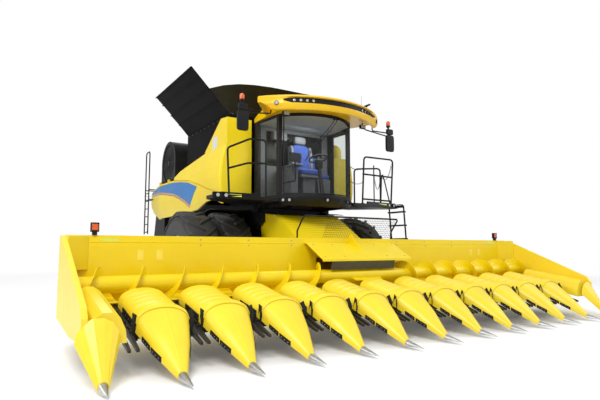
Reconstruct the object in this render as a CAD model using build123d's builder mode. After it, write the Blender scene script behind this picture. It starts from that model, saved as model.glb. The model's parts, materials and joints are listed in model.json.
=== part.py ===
from build123d import *
import os
from math import asin, atan2, cos, degrees, pi, radians, sin, sqrt, tan

# Self-propelled combine harvester with a corn header, in millimetres.
# It stands on Z = 0 and drives towards -Y. +X is the driver's left side.

os.makedirs("parts", exist_ok=True)

right, left = -1, 1
sides = {"right": right, "left": left}

# Clearances
seat_gap = 0.3
running_gap = 8.0

# Front wheels: dual tyres on each side
front_axle_y = -700.0
front_tyre_radius = 1025.0
front_tyre_width = 620.0
front_rim_radius = 540.0
dual_inner_x = 1350.0
dual_pitch = 725.0
front_lug_count = 18
fender_radius = front_tyre_radius + 75
fender_thickness = 12.0
fender_outer_x = 1640.0
fender_front, fender_rear = 104.0, -4.0
fender_runs = 9
hub_bore_radius = 95.0

# Rear wheels, on knuckles that turn about upright pins
rear_axle_y = 3050.0
rear_tyre_radius = 800.0
rear_tyre_width = 560.0
rear_rim_radius = 400.0
rear_wheel_x = 1600.0
rear_lug_count = 16
kingpin_x = 1180.0
kingpin_radius = 38.0
steering_arm_length = 360.0
spindle_radius = 60.0

# Tread bars
lug_height = 48.0
lug_width = 62.0
lug_skew = 42.0
lug_past_middle = 20.0
tyre_facets = 20

# Body lines, seen from the side
body_front_y = -1250.0
core_half_width = 760.0
deck_z = 2960.0
tank_half_width = 1500.0
tank_front_y = -1250.0
tank_rear_y = 1150.0
tank_rim_z = 4050.0
tank_wall = 30.0
panel_thickness = 40.0
skin_bulge = 200.0
skin_widest_x = tank_half_width + skin_bulge

# Side cover hinges, on pins along Y just outside the skin
cover_hinge_x = skin_widest_x + 14
cover_hinge_z = 3026.0
cover_rear_y = 4190.0
cover_hinge_places = (1900.0, 2600.0)
hinge_pin_radius = 8.0

# Cab
cab_half_width = 950.0
cab_front_half_width = 880.0
cab_floor_z = 2330.0
cab_rear_y = -1330.0
cab_corner_y = -2200.0
windscreen_bow_y = -2670.0
cab_ceiling_z = 3860.0
glass_thickness = 12.0
pillar_size = 70.0
roof_tip_x = 1466.0
roof_tip_y = -2427.0
roof_nose_y = -3100.0

# Feeder house and its hinge
feeder_half_width = 760.0
feeder_pivot_y = -1400.0
feeder_pivot_z = 1930.0
feeder_pivot_radius = 45.0
feeder_lift_degrees = 18.0

# Header
row_pitch = 762.0
snout_count = 11
header_end_room = 68.0
header_half_width = (snout_count + 1) / 2 * row_pitch + header_end_room
shield_thickness = 60.0
sheet_y = -3186.0
sheet_top_z = 1486.0
sheet_thickness = 24.0
auger_y = -3600.0
auger_z = 855.0
auger_tube_radius = 110.0
auger_flight_radius = 230.0
snout_back_y = -4700.0
cone_length = 700.0
cone_knee = 350.0
steel_length = 300.0
snout_steel_y = snout_back_y - cone_length
snout_tip_y = snout_steel_y - steel_length
snout_width = 620.0
hood_back_y = -3860.0

# Lift cylinders under the feeder house
cylinder_x = 560.0
cylinder_foot_y, cylinder_foot_z = -900.0, 640.0
cylinder_eye_y, cylinder_eye_z = -2320.0, 850.0
cylinder_pin_radius = 30.0
cylinder_eye_clearance = 7.0

# Unloading tube
unloader_inset = 110.0
unloader_x, unloader_y, unloader_z = tank_half_width - unloader_inset, -930.0, 3590.0
unloader_radius = 185.0
unloader_end_y = 5500.0

# Straw hood over the spreaders
straw_hood_half_width = 1050.0

# Engine hood, beside the unloading tube, and the screen drum on its right
hood_wall = 30.0
hood_tube_gap = 55.0
hood_half_width = unloader_x - unloader_radius - hood_tube_gap
screen_outer_x = tank_half_width + 120
screen_y, screen_z, screen_radius = 2250.0, 3520.0, 470.0


def box(x0, x1, y0, y1, z0, z1, mode=Mode.ADD):
    """A block between two corners, added to the part that is being built."""
    with Locations(((x0 + x1) / 2, (y0 + y1) / 2, (z0 + z1) / 2)):
        Box(abs(x1 - x0), abs(y1 - y0), abs(z1 - z0), mode=mode)


def prism_x(points, x0, x1, mode=Mode.ADD):
    """A side profile of (y, z) points, as thick as x0 to x1."""
    with BuildSketch(Plane.YZ.offset(x0)) as profile:
        with BuildLine():
            Polyline(*points, close=True)
        make_face()
    extrude(profile.sketch, amount=x1 - x0, mode=mode)


def prism_y(points, y0, y1, mode=Mode.ADD):
    """A front profile of (x, z) points, as deep as y0 to y1."""
    with BuildSketch(Plane.XZ.offset(-y0)) as profile:
        with BuildLine():
            Polyline(*points, close=True)
        make_face()
    extrude(profile.sketch, amount=y0 - y1, mode=mode)


def prism_z(points, z0, z1, mode=Mode.ADD):
    """A plan profile of (x, y) points, as tall as z0 to z1."""
    with BuildSketch(Plane.XY.offset(z0)) as profile:
        with BuildLine():
            Polyline(*points, close=True)
        make_face()
    extrude(profile.sketch, amount=z1 - z0, mode=mode)


def rod(start, end, radius, mode=Mode.ADD):
    """A round bar from one point to another."""
    run = Vector(*end) - Vector(*start)
    with BuildSketch(Plane(origin=start, z_dir=run)) as section:
        Circle(radius)
    extrude(section.sketch, amount=run.length, mode=mode)


def rail(points, radius, bend=60.0):
    """A bent tube through the points, with a short slanting run across every corner."""
    route = [Vector(*points[0])]
    for before, corner, after in zip(points, points[1:], points[2:]):
        corner = Vector(*corner)
        back, ahead = Vector(*before) - corner, Vector(*after) - corner
        reach = bend * 0.8 / tan(radians(back.get_angle(ahead)) / 2)
        route += [corner + back.normalized() * reach, corner + ahead.normalized() * reach]
    route.append(Vector(*points[-1]))
    with BuildLine() as path:
        Polyline(*route)
    with BuildSketch(Plane(origin=path.line @ 0, z_dir=path.line % 0)) as section:
        Circle(radius)
    sweep(section.sketch, path=path.line, transition=Transition.RIGHT)


def panelled(rings, closed=False, split=False):
    """A solid with flat panels between like rings of points, each split in two where it would warp."""
    pairs = list(zip(rings, rings[1:])) + ([(rings[-1], rings[0])] if closed else [])
    outlines = [] if closed else [rings[0], rings[-1]]
    for near, far in pairs:
        for i, corner in enumerate(near):
            after = (i + 1) % len(near)
            if split:
                outlines += [(corner, near[after], far[after]), (corner, far[after], far[i])]
            else:
                outlines.append((corner, near[after], far[after], far[i]))
    return Solid(Shell([Face(Wire.make_polygon(outline)) for outline in outlines])).fix()


def strip(points, thickness):
    """The outline of a bent sheet whose middle line is the points."""
    outline, back = [], []
    for i, (u, v) in enumerate(points):
        ahead = points[min(i + 1, len(points) - 1)]
        behind = points[max(i - 1, 0)]
        a = atan2(v - behind[1], u - behind[0]) if i else None
        b = atan2(ahead[1] - v, ahead[0] - u) if i < len(points) - 1 else None
        a = b if a is None else a
        b = a if b is None else b
        middle = (a + b) / 2
        reach = thickness / 2 / cos((b - a) / 2)
        outline.append((u - reach * sin(middle), v + reach * cos(middle)))
        back.append((u + reach * sin(middle), v - reach * cos(middle)))
    return outline + back[::-1]


def tyre(radius, width, rim_radius, lug_count):
    """One tractor tyre about the X axis, with chevron bars fused to its carcass."""
    crown = radius - lug_height
    half = width / 2
    inner_radius = (rim_radius + seat_gap) / cos(pi / tyre_facets)
    shoulder = half - 25
    # across, radius
    section = [(half - 50, inner_radius), (half, crown - 50), (shoulder, crown)]
    section += [(-u, v) for u, v in section[::-1]]
    rings = []
    for i in range(tyre_facets):
        turn = 2 * pi * (i + 0.5) / tyre_facets
        rings.append([(u, v * sin(turn), v * cos(turn)) for u, v in section])
    # A bar runs from just past the middle to the shoulder, its top corners on the tyre's outer circle
    skew = radians(lug_skew)
    reach = (shoulder - seat_gap + lug_past_middle - lug_width * sin(skew)) / cos(skew)
    lug_corner = (reach * sin(skew) + lug_width * cos(skew)) / 2
    lug_top = sqrt(radius**2 - lug_corner**2)
    lug_root = crown - 60
    lug_x = (shoulder - seat_gap - lug_past_middle) / 2
    places = []
    for side in (right, left):
        for i in range(lug_count):
            turn = (i + (0.5 if side == left else 0)) * 360 / lug_count
            bar = Location((side * lug_x, 0, lug_root), (0, 0, side * lug_skew))
            places.append(Location((0, 0, 0), (turn, 0, 0)) * bar)
    with BuildPart() as carcass:
        add(panelled(rings, closed=True))
        with Locations(*places):
            Box(reach, lug_width, lug_top - lug_root, align=(Align.CENTER, Align.CENTER, Align.MIN))
    return carcass.part


def wheel_rim(rim_radius, width, dish, hub_radius, bore_radius, hub_length):
    """A dished steel wheel about the X axis: barrel, disc and bored hub."""
    half = width / 2 - 70
    with BuildPart() as rim:
        with BuildSketch(Plane.XY):
            with BuildLine():
                Polyline(
                    (-half - 10, rim_radius),
                    (half + 10, rim_radius),
                    (dish + 25, rim_radius - 60),
                    (dish + 14, hub_radius),
                    (hub_length / 2, hub_radius),
                    (hub_length / 2, bore_radius),
                    (-hub_length / 2, bore_radius),
                    (-hub_length / 2, hub_radius),
                    (dish - 14, hub_radius),
                    (dish - 25, rim_radius - 60),
                    close=True,
                )
            make_face()
        revolve(axis=Axis.X, revolution_arc=360)
    return rim.part


# Front wheels
front_tyre = tyre(front_tyre_radius, front_tyre_width, front_rim_radius, front_lug_count)
front_rim = wheel_rim(front_rim_radius, front_tyre_width, 0, 200, hub_bore_radius, dual_pitch)
dual_places = [dual_inner_x, dual_inner_x + dual_pitch]
for name, side in sides.items():
    with BuildPart() as front_tyres:
        for place in dual_places:
            add(front_tyre.moved(Location((side * place, front_axle_y, front_tyre_radius))))
    front_tyres.part.label = f"front_tyres_{name}"
    export_step(front_tyres.part, f"parts/front_tyres_{name}.step")
    with BuildPart() as front_rims:
        for place in dual_places:
            add(front_rim.moved(Location((side * place, front_axle_y, front_tyre_radius))))
    front_rims.part.label = f"front_rims_{name}"
    export_step(front_rims.part, f"parts/front_rims_{name}.step")

# Front axle: beam, final drives and the stubs that carry the hubs
axle_stub_end = dual_inner_x + dual_pitch * 1.5 + 20
with BuildPart() as front_axle:
    box(-820, 820, front_axle_y - 130, front_axle_y + 130, 900, 1150)
    for side in (right, left):
        final_drive = dual_inner_x - dual_pitch / 2 - running_gap
        rod(
            (side * 700, front_axle_y, front_tyre_radius),
            (side * final_drive, front_axle_y, front_tyre_radius), 260
        )
        rod(
            (side * 700, front_axle_y, front_tyre_radius),
            (side * axle_stub_end, front_axle_y, front_tyre_radius),
            hub_bore_radius - seat_gap,
        )
        rod(
            (side * (axle_stub_end - 18), front_axle_y, front_tyre_radius),
            (side * axle_stub_end, front_axle_y, front_tyre_radius),
            150,
        )
    # Lugs below the beam that hold the lift cylinders' feet
    for side in (right, left):
        for offset in (-62, 38):
            x0 = side * cylinder_x + offset
            prism_x(
                [
                    (cylinder_foot_y - 50, cylinder_foot_z - 40),
                    (cylinder_foot_y - 50, cylinder_foot_z + 40), (front_axle_y - 130, 910),
                    (front_axle_y + 100, 910), (cylinder_foot_y + 60, cylinder_foot_z - 50)
                ],
                x0, x0 + 24
            )
        rod(
            (side * cylinder_x - 62, cylinder_foot_y, cylinder_foot_z),
            (side * cylinder_x + 62, cylinder_foot_y, cylinder_foot_z), cylinder_pin_radius
        )
front_axle.part.label = "front_axle"
export_step(front_axle.part, "parts/front_axle.step")

# Rear axle: an arched beam with an upright eye at each end
rear_axle_z = rear_tyre_radius
beam_half_height = 110.0
with BuildPart() as rear_axle:
    beam = [
        (-kingpin_x, rear_axle_z - 90),
        (-kingpin_x, rear_axle_z + 90),
        (-500, rear_axle_z + 160),
        (500, rear_axle_z + 160),
        (kingpin_x, rear_axle_z + 90),
        (kingpin_x, rear_axle_z - 90),
        (500, rear_axle_z - 90),
        (-500, rear_axle_z - 90),
    ]
    prism_y(beam, rear_axle_y - 95, rear_axle_y + 95)
    for side in (right, left):
        eye = (side * kingpin_x, rear_axle_y, rear_axle_z - beam_half_height)
        top = (side * kingpin_x, rear_axle_y, rear_axle_z + beam_half_height)
        rod(eye, top, 100)
        rod(eye, top, kingpin_radius + seat_gap, mode=Mode.SUBTRACT)
    rod((0, rear_axle_y - 230, rear_axle_z + 60), (0, rear_axle_y + 230, rear_axle_z + 60), 70)
rear_axle.part.label = "rear_axle"
export_step(rear_axle.part, "parts/rear_axle.step")

# Knuckles: fork, kingpin, spindle and steering arm
arm_z = rear_axle_z - 150
for name, side in sides.items():
    with BuildPart() as knuckle:
        for low, high in ((beam_half_height + seat_gap, 165), (-165, -beam_half_height - seat_gap)):
            box(
                side * (kingpin_x - 70), side * (kingpin_x + 190), rear_axle_y - 80, rear_axle_y + 80,
                rear_axle_z + low, rear_axle_z + high,
            )
        rod(
            (side * kingpin_x, rear_axle_y, rear_axle_z - 160),
            (side * kingpin_x, rear_axle_y, rear_axle_z + 160),
            kingpin_radius,
        )
        box(
            side * (kingpin_x + 110), side * (kingpin_x + 190), rear_axle_y - 80, rear_axle_y + 80,
            rear_axle_z - 165, rear_axle_z + 165,
        )
        rod(
            (side * (kingpin_x + 120), rear_axle_y, rear_axle_z),
            (side * (rear_wheel_x + 150), rear_axle_y, rear_axle_z),
            spindle_radius - seat_gap,
        )
        box(
            side * (kingpin_x - 40), side * (kingpin_x + 40), rear_axle_y, rear_axle_y + steering_arm_length,
            rear_axle_z - 165, rear_axle_z - 130,
        )
        rod(
            (side * kingpin_x, rear_axle_y + steering_arm_length, rear_axle_z - 165),
            (side * kingpin_x, rear_axle_y + steering_arm_length, rear_axle_z - 60),
            20,
        )
    knuckle.part.label = f"knuckle_{name}"
    export_step(knuckle.part, f"parts/knuckle_{name}.step")

# Tie rod between the two steering arms
tie_rod_low = rear_axle_z - 130 + seat_gap
with BuildPart() as tie_rod:
    rod(
        (-kingpin_x + 30, rear_axle_y + steering_arm_length, rear_axle_z - 100),
        (kingpin_x - 30, rear_axle_y + steering_arm_length, rear_axle_z - 100),
        24,
    )
    for side in (right, left):
        start = (side * kingpin_x, rear_axle_y + steering_arm_length, tie_rod_low)
        end = (side * kingpin_x, rear_axle_y + steering_arm_length, rear_axle_z - 70)
        rod(start, end, 42)
        rod(start, end, 20 + seat_gap, mode=Mode.SUBTRACT)
tie_rod.part.label = "tie_rod"
export_step(tie_rod.part, "parts/tie_rod.step")

# Rear wheels
rear_tyre = tyre(rear_tyre_radius, rear_tyre_width, rear_rim_radius, rear_lug_count)
rear_rim = wheel_rim(rear_rim_radius, rear_tyre_width, -60, 120, spindle_radius, 280)
for name, side in sides.items():
    spot = Location((side * rear_wheel_x, rear_axle_y, rear_axle_z), (0, 0, 0 if side == left else 180))
    with BuildPart() as rear_tyres:
        add(rear_tyre.moved(spot))
    rear_tyres.part.label = f"rear_tyre_{name}"
    export_step(rear_tyres.part, f"parts/rear_tyre_{name}.step")
    with BuildPart() as rear_rims:
        add(rear_rim.moved(spot))
    rear_rims.part.label = f"rear_rim_{name}"
    export_step(rear_rims.part, f"parts/rear_rim_{name}.step")

# Main body: frame, threshing housing and cleaning shoe in one profile
with BuildPart() as threshing_body:
    lower = [
        (body_front_y, 1400), (body_front_y, 2300), (-300, deck_z), (4300, deck_z), (4300, 1900),
        (3500, 1450), (1900, 1150), (700, 900), (100, 900), (-300, 1300), (-900, 1300),
    ]
    prism_x(lower, -core_half_width, core_half_width)
    for side in (right, left):
        housing_x = tank_half_width - 100
        prism_z([(side * 700, 300), (side * housing_x, 300), (side * housing_x, 2400), (side * 1060, 4200),
                 (side * 700, 4200)], 2300, deck_z)
        # Brackets and pins for the side cover's hinges
        for y in cover_hinge_places:
            bracket = [(1180, deck_z - 60), (1180, deck_z + 10), (cover_hinge_x - 160, cover_hinge_z + 12),
                       (cover_hinge_x + 12, cover_hinge_z + 12), (cover_hinge_x + 12, cover_hinge_z - 12),
                       (cover_hinge_x - 120, cover_hinge_z - 12)]
            prism_y([(side * u, v) for u, v in bracket], y - 8, y + 8)
            rod(
                (side * cover_hinge_x, y - 40, cover_hinge_z),
                (side * cover_hinge_x, y + 40, cover_hinge_z), hinge_pin_radius
            )
        # Fender over the front wheels, on the housing's side
        fender = []
        for i in range(fender_runs + 1):
            turn = radians(fender_front + (fender_rear - fender_front) * i / fender_runs)
            fender.append(
                (front_axle_y + fender_radius * cos(turn), front_tyre_radius + fender_radius * sin(turn))
            )
        prism_x(strip(fender, fender_thickness), side * (core_half_width - 20), side * fender_outer_x)
    # Fan drum below the front
    rod((-core_half_width, 300, 900), (core_half_width, 300, 900), 330)
    # Saddle over the front axle
    for side in (right, left):
        box(side * 380, side * 640, front_axle_y - 150, front_axle_y + 150, 1150 + seat_gap, 1400)
        box(side * 380, side * 640, front_axle_y - 150, front_axle_y + 300, 1240, 1400)
    # Bracket for the rear axle pivot
    for y0, y1 in ((rear_axle_y - 200, rear_axle_y - 120), (rear_axle_y + 120, rear_axle_y + 200)):
        prism_y([(-160, 760), (160, 760), (300, 1600), (-300, 1600)], y0, y1)
    rod(
        (0, rear_axle_y - 240, rear_axle_z + 60), (0, rear_axle_y + 240, rear_axle_z + 60),
        70 + seat_gap, mode=Mode.SUBTRACT,
    )
    # Ears that hold the feeder house
    for side in (right, left):
        x0, x1 = side * (feeder_half_width + 10), side * (feeder_half_width + 70)
        prism_x(
            [(body_front_y + 60, 1700), (body_front_y + 60, 2150), (feeder_pivot_y - 80, 2020),
             (feeder_pivot_y - 80, 1850)], x0, x1,
        )
        box(side * 700, side * (feeder_half_width + 70), body_front_y + 5, body_front_y + 120, 1700, 2150)
        rod(
            (side * 700, feeder_pivot_y, feeder_pivot_z), (x1, feeder_pivot_y, feeder_pivot_z),
            feeder_pivot_radius
        )
threshing_body.part.label = "threshing_body"
export_step(threshing_body.part, "parts/threshing_body.step")
print("chassis done")
# Tank covers and their hinges
cover_length = 1140.0
cover_lean = 45.0
cover_thickness = 16.0
cover_hinge_radius = 16.0
hinge_x = tank_half_width - 4
hinge_z = tank_rim_z + cover_hinge_radius + 3

# Grain tank: an open box with a hopper floor, its left wall set back for the unloading tube
tank_floor_z = deck_z + 120
tube_recess_x = unloader_x - unloader_radius - 60
recess_low_z = unloader_z - unloader_radius - 60
recess_high_z = unloader_z + unloader_radius + 90
turret_top = unloader_z - unloader_radius - 20
with BuildPart() as grain_tank:
    walls = [
        (-tank_half_width, deck_z), (-tank_half_width, tank_rim_z), (tank_half_width, tank_rim_z),
        (tank_half_width, recess_high_z + 120), (tube_recess_x, recess_high_z),
        (tube_recess_x, recess_low_z), (tank_half_width, recess_low_z), (tank_half_width, deck_z),
    ]
    prism_y(walls, tank_front_y, tank_rear_y)
    with BuildSketch(Plane.XY.offset(tank_floor_z)) as low_mouth:
        Rectangle(700, 900)
    with BuildSketch(Plane.XY.offset(recess_high_z + 60)) as middle_mouth:
        Rectangle(2 * (tube_recess_x - tank_wall), tank_rear_y - tank_front_y - 2 * tank_wall)
    with BuildSketch(Plane.XY.offset(tank_rim_z)) as high_mouth:
        Rectangle(2 * (tank_half_width - tank_wall), tank_rear_y - tank_front_y - 2 * tank_wall)
    middle_y = Location((0, (tank_front_y + tank_rear_y) / 2, 0))
    loft(
        [low_mouth.sketch.moved(middle_y), middle_mouth.sketch.moved(middle_y)], ruled=True,
        mode=Mode.SUBTRACT
    )
    loft(
        [middle_mouth.sketch.moved(middle_y), high_mouth.sketch.moved(middle_y)], ruled=True,
        mode=Mode.SUBTRACT
    )
    # Filling auger that stands in the tank, and the unloading tube's turret at the front corner
    rod((0, 0, tank_floor_z - 20), (0, -260, tank_rim_z - 60), 130)
    rod((0, -255, tank_rim_z - 80), (0, -300, tank_rim_z + 120), 200)
    rod((unloader_x, unloader_y, recess_low_z - 10), (unloader_x, unloader_y, turret_top), 150)
    # Lugs and pins for the folding covers
    for side in (right, left):
        for y0, y1, tip in (
            (tank_front_y, tank_front_y + 24, tank_front_y + 70),
            (tank_rear_y - 24, tank_rear_y, tank_rear_y - 70)
        ):
            box(side * (hinge_x - 14), side * (hinge_x + 4), y0, y1, tank_rim_z - 20, hinge_z + 12)
            rod((side * hinge_x, (y0 + y1) / 2, hinge_z), (side * hinge_x, tip, hinge_z), hinge_pin_radius)
grain_tank.part.label = "grain_tank"
export_step(grain_tank.part, "parts/grain_tank.step")

# Tank extensions: two folding side covers, fixed front and rear panels with corner gussets
extension_rise = 800.0
for name, side in sides.items():
    run_x, run_z = side * cos(radians(cover_lean)), sin(radians(cover_lean))
    with BuildPart() as tank_cover:
        root = (side * hinge_x, hinge_z)
        tip = (root[0] + cover_length * run_x, root[1] + cover_length * run_z)
        prism_y(strip([root, tip], cover_thickness), tank_front_y + 30, tank_rear_y - 30)
        for share in (0.0, 0.26, 0.52, 0.78, 0.985):
            spot = (root[0] + cover_length * share * run_x, root[1] + cover_length * share * run_z)
            high = cover_thickness / 2 if share == 0.0 else 34
            rib = [
                (spot[0], spot[1]), (spot[0] + high * run_z * side, spot[1] - high * run_z),
                (spot[0] + high * run_z * side + 26 * run_x, spot[1] - high * run_z + 26 * run_z),
                (spot[0] + 26 * run_x, spot[1] + 26 * run_z),
            ]
            prism_y(rib, tank_front_y + 30, tank_rear_y - 30)
        rod(
            (side * hinge_x, tank_front_y + 30, hinge_z), (side * hinge_x, tank_rear_y - 30, hinge_z),
            cover_hinge_radius
        )
        rod(
            (side * hinge_x, tank_front_y, hinge_z), (side * hinge_x, tank_rear_y, hinge_z),
            hinge_pin_radius + seat_gap, mode=Mode.SUBTRACT
        )
    tank_cover.part.label = f"tank_cover_{name}"
    export_step(tank_cover.part, f"parts/tank_cover_{name}.step")

with BuildPart() as tank_extensions:
    for end, wall_y in ((-1, tank_front_y), (1, tank_rear_y)):
        lean_y = 560.0
        with BuildSketch(Plane.XZ.offset(-wall_y)) as face:
            with BuildLine():
                Polyline(
                    (-1960, tank_rim_z + extension_rise - 60),
                    (-tank_half_width + 60, tank_rim_z + seat_gap),
                    (tank_half_width - 60, tank_rim_z + seat_gap),
                    (1960, tank_rim_z + extension_rise - 60)
                )
                ThreePointArc(
                    (-1960, tank_rim_z + extension_rise - 60), (0, tank_rim_z + extension_rise + 60),
                    (1960, tank_rim_z + extension_rise - 60)
                )
            make_face()
        tilt = Location((0, wall_y, tank_rim_z + seat_gap)) * Location(
            (0, 0, 0), (-end * degrees(atan2(lean_y, extension_rise)), 0, 0)
        )
        flat = extrude(face.sketch, amount=10, mode=Mode.PRIVATE).moved(
            Location((0, -wall_y, -tank_rim_z - seat_gap))
        )
        add(flat.moved(tilt))
tank_extensions.part.label = "tank_extensions"
export_step(tank_extensions.part, "parts/tank_extensions.step")

# Side panels: a bulging skin, cut to outline in the side view
skin_low_z, skin_high_z = 2080.0, 3420.0
skin_tuck = 105.0
skin_runs = 6
skin_middle_y, skin_rear_y = 2750.0, 4760.0
rear_tuck = 360.0


def skin(side):
    """A bulging skin along the whole body, drawn in towards the rear."""
    sections = []
    # y, tuck of the whole section
    for y, tuck in ((body_front_y - 10, 0.0), (skin_middle_y, 0.0), (skin_rear_y, rear_tuck)):
        with BuildSketch(Plane.XZ.offset(-y)) as section:
            with BuildLine():
                outer = []
                for i in range(skin_runs + 1):
                    share = 2 * i / skin_runs - 1
                    outer.append((side * (skin_widest_x - tuck - skin_tuck * share**2),
                                  skin_low_z + (skin_high_z - skin_low_z) * i / skin_runs))
                inner = [(u - side * panel_thickness, v) for u, v in outer]
                Polyline(*outer, *inner[::-1], close=True)
            make_face()
        sections.append(section.sketch)
    loft(sections, ruled=True)


# Outlines in the side view: y, z
shoulder_outline = [
    (body_front_y + 10, 2420), (-700, 2545), (-200, 2690), (500, 2860), (1560, 2985), (1560, 3050),
    (1220, 3150), (-400, 3370), (-1140, 3380), (body_front_y + 10, 3380),
]
lower_outline = [
    (body_front_y + 10, 2412), (-700, 2537), (-200, 2682), (500, 2852), (1560, 2977), (3000, 3004),
    (cover_rear_y, 2996), (cover_rear_y, 2325), (3290, 2100), (1200, 2120), (100, 2160), (-500, 2290),
    (-900, 2310), (body_front_y + 10, 2200)
]
corner_outline = [(cover_rear_y + 10, 2996), (4700, 2990), (4700, 2570), (cover_rear_y + 10, 2330)]
corner_arm_y = 4480.0
panels = {}
for name, side in sides.items():
    with BuildPart() as shoulder_panel:
        skin(side)
        prism_x(shoulder_outline, side * 1200, side * (skin_widest_x + 100), mode=Mode.INTERSECT)
        # Return flange over to the tank wall
        prism_x([(-1130, 3330), (-1130, 3360), (-400, 3350), (1200, 3134), (1200, 3104), (-400, 3320)],
                side * (tank_half_width + seat_gap), side * (skin_widest_x - 100))
        if side == left:
            rod(
                (unloader_x, unloader_y, deck_z), (unloader_x, unloader_y, turret_top + 40),
                unloader_radius + 15, mode=Mode.SUBTRACT
            )
    # Fixed corner behind the side cover, on an arm from the straw hood
    with BuildPart() as corner_panel:
        skin(side)
        prism_x(corner_outline, side * 1100, side * (skin_widest_x + 100), mode=Mode.INTERSECT)
        box(
            side * (straw_hood_half_width + seat_gap), side * (skin_widest_x - 345), corner_arm_y,
            corner_arm_y + 40, 2640, 2800
        )
    panels[name] = (shoulder_panel.part, corner_panel.part)
with BuildPart() as shoulder_panels:
    for shoulder, corner in panels.values():
        add(shoulder)
        add(corner)
shoulder_panels.part.label = "shoulder_panels"
export_step(shoulder_panels.part, "parts/shoulder_panels.step")
for name, side in sides.items():
    with BuildPart() as side_cover:
        skin(side)
        prism_x(lower_outline, side * 1100, side * (skin_widest_x + 100), mode=Mode.INTERSECT)
        for y in cover_hinge_places:
            for y0, y1 in ((y - 38, y - 12), (y + 12, y + 38)):
                rod((side * cover_hinge_x, y0, cover_hinge_z), (side * cover_hinge_x, y1, cover_hinge_z), 18)
                box(
                    side * (cover_hinge_x - 40), side * (cover_hinge_x + 12), y0, y1, cover_hinge_z - 90,
                    cover_hinge_z - 6
                )
                rod(
                    (side * cover_hinge_x, y0 - 1, cover_hinge_z),
                    (side * cover_hinge_x, y1 + 1, cover_hinge_z), hinge_pin_radius + seat_gap,
                    mode=Mode.SUBTRACT
                )
    side_cover.part.label = f"side_cover_{name}"
    export_step(side_cover.part, f"parts/side_cover_{name}.step")

# Shrouds behind the cab
shroud_side = {
    "right": [(body_front_y, 2420), (body_front_y, 3960), (-970, 3990), (-100, 3400), (-400, 3385),
              (-1140, 3390), (-1140, 2420)],
    "left": [(body_front_y, 2420), (body_front_y, 3340), (-1140, 3340), (-1140, 2420)],
}
with BuildPart() as shrouds:
    for name, side in sides.items():
        prism_x(shroud_side[name], side * (tank_half_width + seat_gap), side * (tank_half_width + 50))
        top = 3960 if side == right else 3340
        face = [
            (1000, 2300), (1000, top), (tank_half_width + 50, top), (tank_half_width + 50, 2420),
            (1300, 2300)
        ]
        prism_y([(side * u, v) for u, v in face], body_front_y - 40, body_front_y - seat_gap)
        box(
            side * (tank_half_width + 10), side * (tank_half_width + 50), body_front_y - 1,
            body_front_y + 1, 2420, top
        )
shrouds.part.label = "shrouds"
export_step(shrouds.part, "parts/shrouds.step")

# Rear deck: engine block under its hood, screen drum and its housing
with BuildPart() as engine:
    box(-450, 450, 2100, 3400, deck_z + seat_gap, 3700)
engine.part.label = "engine"
export_step(engine.part, "parts/engine.step")

louvre_count = 6
with BuildPart() as engine_hood:
    hood_outline = [
        (tank_rear_y + 60, deck_z + seat_gap), (tank_rear_y + 60, 3900), (3300, 3860), (4300, 3420),
        (4700, 3000), (4700, deck_z + seat_gap)
    ]
    prism_x(hood_outline, -hood_half_width, hood_half_width)
    inner = [(tank_rear_y + 60 + hood_wall, deck_z), (tank_rear_y + 60 + hood_wall, 3900 - hood_wall),
             (3290, 3860 - hood_wall), (4285, 3420 - hood_wall), (4660, 3000), (4660, deck_z)]
    prism_x(inner, -hood_half_width + hood_wall, hood_half_width - hood_wall, mode=Mode.SUBTRACT)
    # Air slots in the sloping rear panel and in both rear flanks
    for i in range(louvre_count):
        share = (i + 1) / (louvre_count + 1)
        y, z = 3300 + 1000 * share, 3860 - 440 * share
        box(-700, 700, y - 22, y + 22, z - 90, z + 90, mode=Mode.SUBTRACT)
        box(
            -hood_half_width - 5, hood_half_width + 5, 3350 + 110 * i, 3400 + 110 * i, 3080, 3380,
            mode=Mode.SUBTRACT
        )
engine_hood.part.label = "engine_hood"
export_step(engine_hood.part, "parts/engine_hood.step")

screen_low_z = cover_hinge_z + 28
with BuildPart() as screen_housing:
    with BuildSketch(Plane.YZ.offset(-screen_outer_x)) as outline:
        with BuildLine():
            Polyline(
                (screen_y - 560, 3560), (screen_y - 560, screen_low_z), (screen_y + 560, screen_low_z),
                (screen_y + 560, 3560)
            )
            ThreePointArc((screen_y - 560, 3560), (screen_y, 4090), (screen_y + 560, 3560))
        make_face()
    extrude(outline.sketch, amount=screen_outer_x - hood_half_width - seat_gap)
    rod((-screen_outer_x - 10, screen_y, screen_z), (-screen_outer_x + 120, screen_y, screen_z),
        screen_radius + running_gap, mode=Mode.SUBTRACT)
    rod((-screen_outer_x - 10, screen_y, screen_z), (-hood_half_width - 50, screen_y, screen_z),
        screen_radius - 60, mode=Mode.SUBTRACT)
    rod((-hood_half_width - 20, screen_y, screen_z), (-screen_outer_x + 60, screen_y, screen_z), 25)
screen_housing.part.label = "screen_housing"
export_step(screen_housing.part, "parts/screen_housing.step")
with BuildPart() as rotary_screen:
    drum_x = -screen_outer_x + 20
    rod((drum_x, screen_y, screen_z), (drum_x + 92, screen_y, screen_z), screen_radius)
    rod(
        (drum_x + 15, screen_y, screen_z), (drum_x + 93, screen_y, screen_z), screen_radius - 16,
        mode=Mode.SUBTRACT
    )
    rod((drum_x, screen_y, screen_z), (drum_x + 80, screen_y, screen_z), 60)
    rod(
        (drum_x + 10, screen_y, screen_z), (drum_x + 100, screen_y, screen_z), 25 + seat_gap,
        mode=Mode.SUBTRACT
    )
rotary_screen.part.label = "rotary_screen"
export_step(rotary_screen.part, "parts/rotary_screen.step")

hitch_bore_radius = 20.0
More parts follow.
